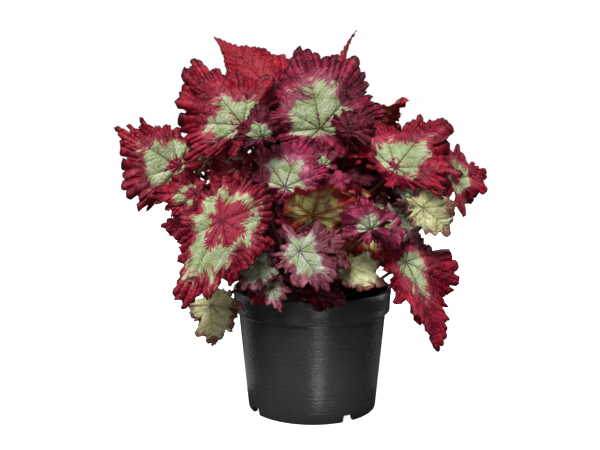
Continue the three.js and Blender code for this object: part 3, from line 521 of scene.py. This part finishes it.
def leafParts(tree):  # what the patterns need: distances along and from the veins, and the place in the band
    parts = {"sheet": addNode(tree, "Attribute", {"attribute_name": "sheetPlace"}, {}, "Vector")}
    for name, keys in (("veinPlace", ("s", "t", "reach")), ("bandPlace", ("rise", "fall", "seed"))):
        place = addNode(tree, "Attribute", {"attribute_name": name}, {}, "Vector")
        for i, key in enumerate(keys):
            parts[key] = addNode(tree, "SeparateXYZ", {}, {0: place}, i)
    fold = addNode(tree, "Attribute", {"attribute_name": "foldPlace"}, {}, "Vector")
    # painted shade in the troughs and behind the stalk, painted highlight on the crests
    parts["trough"] = addNode(tree, "SeparateXYZ", {}, {0: fold})
    parts["cloud"] = addNode(tree, "TexNoise", {}, {"Vector": parts["sheet"], "Scale": 0.09, "Detail": 2})
    bend = addNode(tree, "Math", multiplyAdd, {0: parts["cloud"], 1: 9, 2: parts["s"]})
    across = addNode(tree, "Math", multiplyAdd, {0: parts["t"], 1: -0.9, 2: bend})
    along = addNode(tree, "Math", multiplyAdd, {0: parts["s"], 1: 0.9, 2: parts["t"]})
    ribTurn = addNode(tree, "Math", multiply, {0: across, 1: 1 / ribSpacing})
    parts["rib"] = addNode(tree, "Math", {"operation": "PINGPONG"}, {0: ribTurn, 1: 0.5})  # 0 on a side vein
    streak = addNode(tree, "CombineXYZ", {}, {0: across, 1: along, 2: parts["seed"]})
    streak = addNode(tree, "VectorMath", multiply, {0: streak, 1: (0.5, 0.07, 1)})
    parts["feather"] = addNode(tree, "TexNoise", {}, {"Vector": streak, "Scale": 1.0, "Detail": 4})
    width = addNode(tree, "Math", multiplyAdd, {0: parts["reach"], 1: -0.9, 2: 1.1})
    parts["main"] = addNode(tree, "MapRange", smoothStep, {
        "Value": parts["t"], "From Min": 0.1, "From Max": width, "To Min": 1, "To Max": 0})
    fade = addNode(tree, "MapRange", smoothStep, {
        "Value": parts["reach"], "From Min": 0.05, "From Max": 0.8, "To Min": 0.9, "To Max": 0.1})
    parts["main"] = addNode(tree, "Math", multiply, {0: parts["main"], 1: fade})
    parts["side"] = addNode(tree, "MapRange", smoothStep, {
        "Value": parts["rib"], "From Min": 0.01, "From Max": 0.07, "To Min": 1, "To Max": 0})
    parts["cells"] = addNode(tree, "TexVoronoi", {"feature": "DISTANCE_TO_EDGE"},
                             {"Vector": parts["sheet"], "Scale": 0.3})  # between the finest veins, 3 mm apart
    parts["net"] = addNode(tree, "MapRange", smoothStep, {
        "Value": parts["cells"], "From Min": 0.02, "From Max": 0.13, "To Min": 1, "To Max": 0})
    return parts


def leafBump(tree, parts, height):  # height: above 0 the skin bulges between the veins
    grain = addNode(tree, "TexNoise", {}, {"Vector": parts["sheet"], "Scale": 0.6, "Detail": 4})
    relief = addNode(tree, "MapRange", {}, {"Value": parts["rib"], "From Max": 0.3, "To Max": height})
    sunk = addNode(tree, "MapRange", {}, {"Value": parts["t"], "From Max": 2.5, "To Max": height})
    bulge = addNode(tree, "MapRange", smoothStep,
                    {"Value": parts["cells"], "From Max": 0.35, "To Max": 0.6 * height})
    for part in (sunk, bulge, grain):
        relief = addNode(tree, "Math", add, {0: relief, 1: part})
    return addNode(tree, "Bump", {}, {"Strength": 0.6, "Distance": 0.001, "Height": relief})


def upperMaterial(name, look):
    material, tree = newMaterial(name)
    parts = leafParts(tree)
    ragged = addNode(tree, "Math", multiplyAdd, {0: parts["feather"], 1: 0.65, 2: -0.575})
    ragged = addNode(tree, "Math", multiplyAdd, {0: parts["cloud"], 1: 0.5, 2: ragged})
    rise = addNode(tree, "Math", add, {0: parts["rise"], 1: ragged})
    fall = addNode(tree, "Math", add, {0: parts["fall"], 1: ragged})
    inBand = addNode(tree, "MapRange", smoothStep,
                     {"Value": rise, "From Min": -0.03, "From Max": 0.04})
    pastBand = addNode(tree, "MapRange", smoothStep,
                       {"Value": fall, "From Min": -0.03, "From Max": 0.05})
    nearBand = addNode(tree, "MapRange", smoothStep,
                       {"Value": fall, "From Min": 0.03, "From Max": 0.36, "To Min": 1, "To Max": 0})
    streaky = addNode(tree, "MapRange", {}, {"Value": parts["feather"], "From Min": 0.4, "From Max": 0.7})
    flush = addNode(tree, "Math", multiply, {0: nearBand, 1: streaky})
    patch = addNode(tree, "MapRange", {}, {"Value": parts["cloud"], "From Min": 0.35, "From Max": 0.7})
    # painted shade: the troughs of the folds turn dark
    shadeInTroughs = addNode(tree, "MapRange", {}, {
        "Value": parts["trough"], "From Min": 0.3, "From Max": 0.7, "To Max": 0.95})
    # painted highlight: the crests of the folds take the pale flush colour
    crestHighlight = addNode(tree, "MapRange", {}, {
        "Value": parts["trough"], "From Min": -0.3, "From Max": 0.2, "To Min": 0.32, "To Max": 0})
    # darker random patches, and the painted shade in the troughs
    patchesAndShade = addNode(tree, "Math", multiply, {0: patch, 1: 0.65})
    patchesAndShade = addNode(tree, "Math", larger, {0: patchesAndShade, 1: shadeInTroughs})
    streak = addNode(tree, "MapRange", {},
                     {"Value": parts["feather"], "From Min": 0.62, "From Max": 0.36, "To Max": 0.7})
    atEdge = addNode(tree, "MapRange", smoothStep,
                     {"Value": parts["reach"], "From Min": 0.94, "From Max": 1.0, "To Max": 0.85})
    outer = look["outer"]
    # the crest share paints a highlight in the flush colour, and the shade share paints shade in the troughs
    coats = ((flush, "flush"), (crestHighlight, "flush"), (streak, "deep"), (patchesAndShade, "deep"), (atEdge, "edge"))
    for share, coat in coats:
        outer = addNode(tree, "Mix", rgba, {0: share, 6: outer, 7: look[coat]}, 2)
    mottled = addNode(tree, "Math", multiply, {0: parts["net"], 1: streaky})
    mottled = addNode(tree, "Math", multiplyAdd, {0: mottled, 1: 0.5, 2: patch})
    band = addNode(tree, "Mix", rgba, {0: mottled, 6: look["band"], 7: look.get("mottle", "#8CA062")}, 2)
    fleck = addNode(tree, "TexNoise", {}, {"Vector": parts["sheet"], "Scale": 0.5, "Detail": 4})
    fleck = addNode(tree, "MapRange", {}, {"Value": fleck, "From Min": 0.6, "From Max": 0.7, "To Max": 0.6})
    inside = addNode(tree, "MapRange", {}, {"Value": pastBand, "To Min": 1, "To Max": 0.25})
    fleck = addNode(tree, "Math", multiply, {0: fleck, 1: inside})
    fine = addNode(tree, "Math", multiply, {0: parts["net"], 1: 0.1})
    side = addNode(tree, "Math", multiplyAdd, {0: parts["side"], 1: 0.25, 2: fine})
    veins = addNode(tree, "Math", larger, {0: side, 1: parts["main"]})
    colour = look["heart"]
    for share, coat in ((inBand, band), (pastBand, outer), (fleck, look["flush"]), (veins, look["vein"])):
        colour = addNode(tree, "Mix", rgba, {0: share, 6: colour, 7: coat}, 2)
    rough = addNode(tree, "MapRange", {}, {"Value": parts["feather"], "To Min": 0.38, "To Max": 0.56})
    finishMaterial(tree, {"Base Color": colour, "Roughness": rough, "Normal": leafBump(tree, parts, 0.8),
                          "IOR": 1.42, "Specular IOR Level": 0.3})
    return material


# Underside of the leaf: matt, hairy flesh that turns brown by the veins and wine red towards the edge.
def underMaterial(name, look):
    material, tree = newMaterial(name)
    parts = leafParts(tree)
    spread = addNode(tree, "Math", multiplyAdd, {0: parts["cloud"], 1: 1.1, 2: parts["reach"]})
    atMargin = addNode(tree, "MapRange", smoothStep,
                       {"Value": spread, "From Min": 0.95, "From Max": 1.45})
    nearVein = addNode(tree, "MapRange", smoothStep,
                       {"Value": parts["t"], "From Min": 0.6, "From Max": 3.4, "To Min": 0.7, "To Max": 0})
    nearRib = addNode(tree, "MapRange", smoothStep, {
        "Value": parts["rib"], "From Min": 0.03, "From Max": 0.15, "To Min": 0.45, "To Max": 0})
    halo = addNode(tree, "Math", larger, {0: nearVein, 1: nearRib})
    side = addNode(tree, "Math", multiply, {0: parts["side"], 1: 0.7})
    veins = addNode(tree, "Math", larger, {0: side, 1: parts["main"]})
    colour = look["flesh"]
    for share, coat in ((halo, "middle"), (atMargin, "margin"), (veins, "vein")):
        colour = addNode(tree, "Mix", rgba, {0: share, 6: colour, 7: look[coat]}, 2)
    finishMaterial(tree, {"Base Color": colour, "Roughness": 0.55, "Normal": leafBump(tree, parts, -0.8),
                          "IOR": 1.42, "Specular IOR Level": 0.3})
    return material


upperSides = {key: upperMaterial("begonia leaf upper side " + key, look) for key, look in upperLooks.items()}
underSides = {key: underMaterial("begonia leaf underside " + key, look) for key, look in underLooks.items()}
plainUnders = {"pale": "pale", "silver": "pale", "red": "orange"}  # all other looks are lime below

fillSettings = {  # mm: small young leaves between the large ones, on an egg inside the dome
    "count": 44, "seed": 8, "centre": (0, -6, 196), "radii": (104, 88, 100), "depth": (0.6, 0.8),
    # most small leaves take the dark look, partly painted shade for the dome's inside
    "length": (26, 42), "looks": ("crimson", "dark", "dark", "magenta", "dark", "dark"),
    "lowest": -0.62, "span": 1.5,  # heights on the egg, as shares of its radius
    "turned": 0.25,  # share that shows the underside
    "banded": 0.45,  # share with a pale band
    "leftOut": (8, 9, 11, 17, 23, 25, 28, 29, 31, 34, 37, 42, 43),  # they would cut through a large leaf
    "stalkRadius": 1.5, "stalkFoot": 103, "stalkSides": 6, "stalkSteps": 10,
}
goldenAngle = 2.39996  # radians from one leaf to the next, so that they spread evenly


def fillRows():
    f = fillSettings
    rng = random.Random(f["seed"])
    rows = []
    for k in range(f["count"]):
        turn = goldenAngle * k
        up = f["lowest"] + f["span"] * (k + 0.5) / f["count"]
        flat = math.sqrt(1 - up * up)
        out = Vector((flat * math.cos(turn), flat * math.sin(turn), up))
        depth = rng.uniform(*f["depth"])
        at = Vector([c + o * r * depth for c, o, r in zip(f["centre"], out, f["radii"])])
        face = Vector((out.x, out.y, max(out.z, 0) + 0.45)).normalized()
        heading = Vector([rng.uniform(-1, 1) for _ in range(3)]) + out * 0.5
        heading.z += 0.3 - at.z / 600
        heading = (heading - face * heading.dot(face)).normalized() + out * 0.3
        tip = at + heading.normalized() * rng.uniform(*f["length"])
        if rng.random() < f["turned"]:
            face = -face
        look = rng.choice(f["looks"])
        band = (-1, rng.uniform(0.35, 0.6)) if rng.random() < f["banded"] else noBand
        rows.append(leafRow(
            f"fill_{k + 1}", tuple(at), tuple(tip), tuple(face), rng.uniform(0, 6), look, band,
            wide=rng.uniform(1, 1.4), tuck=0.45, back=60, wave=0.14,
        ))
    return [row for k, row in enumerate(rows) if k + 1 not in f["leftOut"]]


fills = fillRows()
for leaf in leafRows + fills:
    lower = leaf.get("under") or plainUnders.get(leaf["look"], "lime")
    shownBlade(leaf, [upperSides[leaf["look"]], underSides[lower]])
print("blades", len(leafRows + fills))


# Crown: the creeping stem and its stalks, rounded, with hairs

# Begonia stalk: juicy, with an even sheen, dark red streaked with brown.
def stalkMaterial():
    material, tree = newMaterial("begonia stalk")
    place = addNode(tree, "TexCoord", {}, {}, "Object")
    stretched = addNode(tree, "VectorMath", multiply, {0: place, 1: (3, 3, 0.5)})
    streak = addNode(tree, "TexNoise", {}, {"Vector": stretched, "Scale": 90, "Detail": 3})
    brown = addNode(tree, "MapRange", {}, {"Value": streak, "From Min": 0.35, "From Max": 0.7})
    colour = addNode(tree, "Mix", rgba, {0: brown, 6: "#46130D", 7: "#6C3A22"}, 2)
    grain = addNode(tree, "TexNoise", {}, {"Vector": place, "Scale": 900, "Detail": 3})
    bump = addNode(tree, "Bump", {}, {"Strength": 0.5, "Distance": 0.0004, "Height": grain})
    finishMaterial(tree, {"Base Color": colour, "Roughness": 0.5, "Normal": bump})
    return material


crownSettings = {  # mm; hairs grow above hairFoot only, where they can be seen
    "voxel": 1.09, "smoothing": 4, "seed": 5, "hairs": 5200, "hairLength": 2.0, "hairRadius": 0.09,
    "hairFoot": 112,
}


def buildCrown():
    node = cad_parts["crown"]
    piece = node.copy()
    piece.data = node.data.copy()
    piece.name = "stalks"
    bpy.context.collection.objects.link(piece)
    piece.hide_render = False
    selectOnly(piece)
    bpy.ops.object.mode_set(mode="EDIT")
    bpy.ops.mesh.select_all(action="SELECT")
    bpy.ops.mesh.remove_doubles(threshold=1e-5)
    bpy.ops.object.mode_set(mode="OBJECT")
    remesh = piece.modifiers.new("round", "REMESH")
    remesh.mode = "VOXEL"
    remesh.voxel_size = crownSettings["voxel"] * mm
    bpy.ops.object.modifier_apply(modifier="round")
    smooth = piece.modifiers.new("smooth", "SMOOTH")
    smooth.iterations = crownSettings["smoothing"]
    bpy.ops.object.modifier_apply(modifier="smooth")
    bpy.ops.object.shade_smooth()
    piece.data.materials.clear()
    piece.data.materials.append(stalkMaterial())
    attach(piece, "root")
    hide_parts("crown")
    return piece


def buildHairs(stalks):  # each hair is a thin pyramid with three sides
    rng = random.Random(crownSettings["seed"])
    polygons = stalks.data.polygons
    vertices = []
    faces = []
    for _ in range(crownSettings["hairs"]):
        face = polygons[rng.randrange(len(polygons))]
        root = np.array(face.center) / mm
        if root[2] < crownSettings["hairFoot"]:
            continue
        out = np.array(face.normal) + np.array([rng.uniform(-0.5, 0.5) for _ in range(3)])
        out /= np.linalg.norm(out)
        side = np.cross(out, (0.3, 0.5, 0.8))
        side /= np.linalg.norm(side)
        other = np.cross(out, side)
        start = len(vertices)
        for k in range(3):
            turn = 2 * math.pi * k / 3
            ring = (side * math.cos(turn) + other * math.sin(turn)) * crownSettings["hairRadius"]
            vertices.append((root - out * 0.2 + ring) * mm)
        vertices.append((root + out * crownSettings["hairLength"] * rng.uniform(0.6, 1.2)) * mm)
        for corners in ((0, 1, 3), (1, 2, 3), (2, 0, 3), (2, 1, 0)):
            faces.append(tuple(start + i for i in corners))
    material, tree = newMaterial("begonia hair")
    finishMaterial(tree, {"Base Color": "#8E5648", "Roughness": 0.6})
    hairs = meshObject("stalkHairs", vertices, faces, [material])
    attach(hairs, "root")


def buildFillStalks(rows, look):  # a thin stalk from the soil to each small leaf
    vertices = []
    faces = []
    sides = fillSettings["stalkSides"]
    steps = fillSettings["stalkSteps"]
    for leaf in rows:
        end = Vector(leaf["at"]) - Vector(leaf["face"]) * 0.5
        foot = Vector((end.x * 0.2, end.y * 0.2, fillSettings["stalkFoot"]))
        middle = Vector((end.x * 0.3, end.y * 0.3, end.z * 0.75 + foot.z * 0.25))
        start = len(vertices)
        for i in range(steps + 1):
            f = i / steps
            point = foot * (1 - f) ** 2 + middle * 2 * f * (1 - f) + end * f * f
            along = ((middle - foot) * (1 - f) + (end - middle) * f).normalized()
            side = along.cross(Vector((0.3, 0.9, 0.1))).normalized()
            other = along.cross(side)
            for k in range(sides):
                turn = 2 * math.pi * k / sides
                ring = side * math.cos(turn) + other * math.sin(turn)
                vertices.append((point + ring * fillSettings["stalkRadius"]) * mm)
        for i in range(steps):
            for k in range(sides):
                a = start + i * sides + k
                b = start + i * sides + (k + 1) % sides
                faces.append((a, b, b + sides, a + sides))
        faces.append(tuple(start + sides - 1 - k for k in range(sides)))
        faces.append(tuple(start + steps * sides + k for k in range(sides)))
    piece = meshObject("fillStalks", vertices, faces, [look])
    piece.data.polygons.foreach_set("use_smooth", [True] * len(faces))
    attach(piece, "root")


stalks = buildCrown()
buildFillStalks(fills, stalks.data.materials[0])
buildHairs(stalks)
print("stalks", len(stalks.data.polygons))


# Soil

# Potting mix: damp peat, dark brown, matt and crumbly.
def soilMaterial():
    material, tree = newMaterial("peat potting mix")
    place = addNode(tree, "TexCoord", {}, {}, "Object")
    grain = addNode(tree, "TexNoise", {}, {"Vector": place, "Scale": 400, "Detail": 5})  # crumbs of 2.5 mm
    light = addNode(tree, "MapRange", {}, {"Value": grain, "From Min": 0.35, "From Max": 0.7})
    colour = addNode(tree, "Mix", rgba, {0: light, 6: "#140D08", 7: "#3A281B"}, 2)
    bump = addNode(tree, "Bump", {}, {"Distance": 0.0015, "Height": grain})
    finishMaterial(tree, {"Base Color": colour, "Roughness": 0.9, "Normal": bump})
    return material


soilLook = soilMaterial()
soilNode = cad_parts["soil"]
soilNode.data.materials.clear()
soilNode.data.materials.append(soilLook)


crumbSettings = {"count": 1500, "seed": 11, "size": (0.8, 2.4), "margin": 4, "sunk": 1.2}  # mm


def buildCrumbs():
    low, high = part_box("soil")
    rng = random.Random(crumbSettings["seed"])
    radius = (high.x - low.x) / 2 / mm - crumbSettings["margin"]
    middle = high.z / mm - crumbSettings["sunk"]
    vertices = []
    faces = []
    corners = [(1, 0, 0), (-1, 0, 0), (0, 1, 0), (0, -1, 0), (0, 0, 1), (0, 0, -1)]
    sides = [(0, 2, 4), (2, 1, 4), (1, 3, 4), (3, 0, 4), (2, 0, 5), (1, 2, 5), (3, 1, 5), (0, 3, 5)]
    for _ in range(crumbSettings["count"]):
        distance = radius * math.sqrt(rng.random())
        turn = rng.uniform(0, 2 * math.pi)
        size = rng.uniform(*crumbSettings["size"])
        place = Vector((distance * math.cos(turn), distance * math.sin(turn), middle + rng.uniform(-0.6, 1)))
        spin = Matrix.Rotation(rng.uniform(0, 6), 3, Vector((rng.random(), rng.random(), rng.random() + 0.1)))
        start = len(vertices)
        for corner in corners:
            point = Vector(corner) * size * rng.uniform(0.6, 1.2)
            vertices.append((place + spin @ point) * mm)
        faces += [tuple(start + i for i in side) for side in sides]
    crumbs = meshObject("soilCrumbs", vertices, faces, [soilLook])
    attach(crumbs, "root")


buildCrumbs()
print("soil")


# Pot: the same section as the solid, turned smooth, with the notches cut

potShape = {  # mm; a drain hole's size is along the radius, across it and up
    "height": 116, "rim": 75, "band": 22, "step": 4, "wall": 2, "base": 61, "foot": 6, "footWidth": 5,
    "pad": 34, "floor": 2.5, "notchWidth": 14, "notchHeight": 6.5, "notchSlant": 4,
    "notches": (-149, -58, 31, 122), "drain": (8, 9, 12), "steps": 144,
}


# Black polypropylene, moulded: satin and a little cloudy, with faint rings from the mould and fine scratches.
def potMaterial():
    material, tree = newMaterial("black polypropylene")
    place = addNode(tree, "TexCoord", {}, {}, "Object")
    ringed = addNode(tree, "VectorMath", multiply, {0: place, 1: (0.02, 0.02, 1)})
    lines = addNode(tree, "TexNoise", {}, {"Vector": ringed, "Scale": 500, "Detail": 3})  # 2 mm apart
    scratched = addNode(tree, "VectorMath", multiply, {0: place, 1: (0.5, 0.5, 1.3)})
    scuff = addNode(tree, "TexNoise", {}, {"Vector": scratched, "Scale": 420, "Detail": 6})
    patch = addNode(tree, "TexNoise", {}, {"Vector": place, "Scale": 22, "Detail": 3})
    dust = addNode(tree, "MapRange", {}, {"Value": scuff, "From Min": 0.55, "From Max": 0.75, "To Max": 0.22})
    cloudy = addNode(tree, "MapRange", {}, {"Value": patch, "From Min": 0.4, "From Max": 0.7, "To Max": 0.5})
    colour = addNode(tree, "Mix", rgba, {0: cloudy, 6: "#39393B", 7: "#464648"}, 2)
    colour = addNode(tree, "Mix", rgba, {0: dust, 6: colour, 7: "#4A4946"}, 2)
    rough = addNode(tree, "MapRange", {}, {"Value": patch, "To Min": 0.2, "To Max": 0.36})
    rough = addNode(tree, "Math", add, {0: rough, 1: dust})
    height = addNode(tree, "Math", multiplyAdd, {0: scuff, 1: 1.1, 2: lines})
    bump = addNode(tree, "Bump", {}, {"Strength": 0.8, "Distance": 0.0005, "Height": height})
    finishMaterial(tree, {"Base Color": colour, "Roughness": rough, "Normal": bump, "IOR": 1.49,
                          "Specular IOR Level": 0.4})
    return material


def potSection():  # radius and height, from the middle of the bottom round the outside to the middle inside
    p = potShape
    rim, top, base, foot, pad, wall = (p[key] for key in ("rim", "height", "base", "foot", "pad", "wall"))
    bandFoot = top - p["band"]
    wallTop = rim - 1 - p["step"]
    slope = (wallTop - base) / bandFoot
    floor = foot + p["floor"]
    inner = base - wall + slope * floor
    footInner = base - p["footWidth"]
    return [
        (0, 0), (pad - 1, 0), (pad, 0.3), (pad + 2, foot - 0.4), (pad + 3, foot), (footInner, foot),
        (footInner + 1, 0.2), (footInner + 1.4, 0), (base - 1, 0), (base - 0.3, 0.25), (base + 0.05, 1),
        (base + slope * 8, 8), (base + slope * 46, 46), (wallTop - 0.2, bandFoot - 3),
        (wallTop + 0.1, bandFoot - 1.4), (wallTop + 1, bandFoot - 0.4), (rim - 1.9, bandFoot),
        (rim - 1.2, bandFoot + 0.4), (rim - 1, bandFoot + 1.2), (rim - 0.9, bandFoot + 5),
        (rim - 0.8, bandFoot + 9.8), (rim - 0.5, bandFoot + 10.4), (rim - 0.7, top - 7.4),
        (rim - 0.2, top - 6.4), (rim, top - 5.6), (rim, top - 2), (rim - 0.3, top - 0.8),
        (rim - 1.1, top - 0.1), (rim - 2, top), (rim - 2.9, top - 0.5), (rim - 3.4, top - 2.2),
        (rim - 3.5, top - 4), (rim - 1.4 - wall, bandFoot + 3), (wallTop - wall + 0.4, bandFoot - 1),
        (inner, floor + 1.5), (inner - 0.6, floor + 0.4), (inner - 2, floor), (0, floor),
    ]


def cutFrom(piece, size, place, turn, slant=0):  # slant: how much narrower the cut is at its top
    bpy.ops.object.select_all(action="DESELECT")
    bpy.ops.mesh.primitive_cube_add(size=1, location=(0, 0, 0))
    cutter = bpy.context.object
    cutter.data.transform(Matrix.Diagonal((*[d * mm for d in size], 1)))
    for vertex in cutter.data.vertices:
        if vertex.co.z > 0:
            vertex.co.y *= 1 - slant / size[1]
    turned = Matrix.Rotation(math.radians(turn), 4, "Z")
    cutter.data.transform(turned @ Matrix.Translation(Vector(place) * mm))
    cut = piece.modifiers.new("notch", "BOOLEAN")
    cut.operation = "DIFFERENCE"
    cut.solver = "EXACT"
    cut.object = cutter
    selectOnly(piece)
    bpy.ops.object.modifier_apply(modifier="notch")
    bpy.data.objects.remove(cutter, do_unlink=True)


def buildPot():
    p = potShape
    section = potSection()
    mesh = bpy.data.meshes.new("potShell")
    edges = [(i, i + 1) for i in range(len(section) - 1)]
    mesh.from_pydata([(r * mm, 0, z * mm) for r, z in section], edges, [])
    piece = bpy.data.objects.new("potShell", mesh)
    bpy.context.collection.objects.link(piece)
    selectOnly(piece)
    bpy.ops.object.mode_set(mode="EDIT")
    bpy.ops.mesh.select_all(action="SELECT")
    bpy.ops.mesh.spin(steps=p["steps"], angle=2 * math.pi, center=(0, 0, 0), axis=(0, 0, 1))
    bpy.ops.mesh.select_all(action="SELECT")
    bpy.ops.mesh.remove_doubles(threshold=2e-6)
    bpy.ops.mesh.normals_make_consistent(inside=False)
    bpy.ops.object.mode_set(mode="OBJECT")
    for turn in p["notches"]:
        cutFrom(piece, (p["footWidth"] + 4, p["notchWidth"], 2 * p["notchHeight"]),
                (p["base"] - p["footWidth"] / 2 + 1, 0, 0), turn, p["notchSlant"])
        cutFrom(piece, p["drain"], (p["base"] - p["footWidth"] - 5, 0, p["foot"] + 2), turn)
    bpy.ops.object.shade_smooth_by_angle(angle=math.radians(35))
    piece.data.materials.append(potMaterial())
    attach(piece, "root")
    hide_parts("pot")


buildPot()
print("pot")


# Room: a white floor, white behind, a wide window and soft boxes

roomSettings = {"floor": 8, "world": 0.035, "floorGlow": 0.9}  # the floor in metres


def buildRoom():
    bpy.ops.object.select_all(action="DESELECT")
    bpy.ops.mesh.primitive_plane_add(size=roomSettings["floor"], location=(0, 0, 0))
    floor = bpy.context.object
    floor.name = "floor"
    material, tree = newMaterial("white studio floor")
    finishMaterial(tree, {"Base Color": "#FAFAFA", "Roughness": 0.9, "Specular IOR Level": 0.0,
                          "Emission Color": "#FFFFFF", "Emission Strength": roomSettings["floorGlow"]})
    floor.data.materials.append(material)
    floor.visible_diffuse = False  # the light on the plant comes from the window and the boxes alone
    floor.visible_glossy = False
    world = bpy.data.worlds.new("studio")
    bpy.context.scene.world = world
    world.use_nodes = True
    tree = world.node_tree
    tree.nodes.clear()
    seen = addNode(tree, "LightPath", {}, {}, "Is Camera Ray")
    strength = addNode(tree, "MapRange", {}, {"Value": seen, "To Min": roomSettings["world"], "To Max": 1})
    light = addNode(tree, "Background", {}, {"Color": "#FFFFFF", "Strength": strength})
    addNode(tree, "OutputWorld", {}, {"Surface": light})


# In metres, watts and degrees. Boxes with a turn lie on the floor, and the pot's wall mirrors them.
softBoxes = {
    "strip": {"place": (0.037, -0.225, 0.004), "size": (0.018, 0.27), "power": 0.085, "turn": 12},
    "leftEdge": {"place": (-0.19, 0.12, 0.004), "size": (0.1, 0.3), "power": 0.04, "turn": 50},
    "rightEdge": {"place": (0.19, 0.12, 0.004), "size": (0.1, 0.3), "power": 0.012, "turn": -50},
    "left": {"place": (-1.1, 0.45, 0.5), "size": (0.5, 1.4), "power": 4.5},
    "right": {"place": (1.1, 0.45, 0.5), "size": (0.5, 1.4), "power": 4.5},
    "cheek": {"place": (-0.9, -0.6, 0.35), "size": (0.6, 0.6), "power": 1.0},
    "back": {"place": (0, 1.5, 0.7), "size": (1.2, 1.0), "power": 7},
    "lip": {"place": (0, -0.5, 0.95), "size": (0.8, 0.1), "power": 1.5},
    "fill": {"place": (0, -1.3, 0.03), "size": (1.6, 0.5), "power": 1.0},
}
skyLight = {"strength": 2.75, "spread": 26, "heading": (0.25, 0.75, -0.9)}  # a window high in front, left
aimHeight = 0.18


def buildLights():
    sky = bpy.data.lights.new("sky", "SUN")
    sky.energy = skyLight["strength"]
    sky.angle = math.radians(skyLight["spread"])
    lamp = bpy.data.objects.new("sky", sky)
    lamp.rotation_euler = Vector(skyLight["heading"]).to_track_quat("-Z", "Y").to_euler()
    bpy.context.collection.objects.link(lamp)
    for name, box in softBoxes.items():
        data = bpy.data.lights.new(name, "AREA")
        data.shape = "RECTANGLE"
        data.size, data.size_y = box["size"]
        data.energy = box["power"]
        lamp = bpy.data.objects.new(name, data)
        lamp.location = box["place"]
        lamp.visible_camera = False
        if "turn" in box:
            lamp.rotation_euler = (math.pi, 0, math.radians(box["turn"]))
        else:
            aim = Vector((0, 0, aimHeight)) - Vector(box["place"])
            lamp.rotation_euler = aim.to_track_quat("-Z", "Y").to_euler()
        bpy.context.collection.objects.link(lamp)


buildRoom()
buildLights()
bpy.context.scene.view_settings.view_transform = "Standard"
print("room")
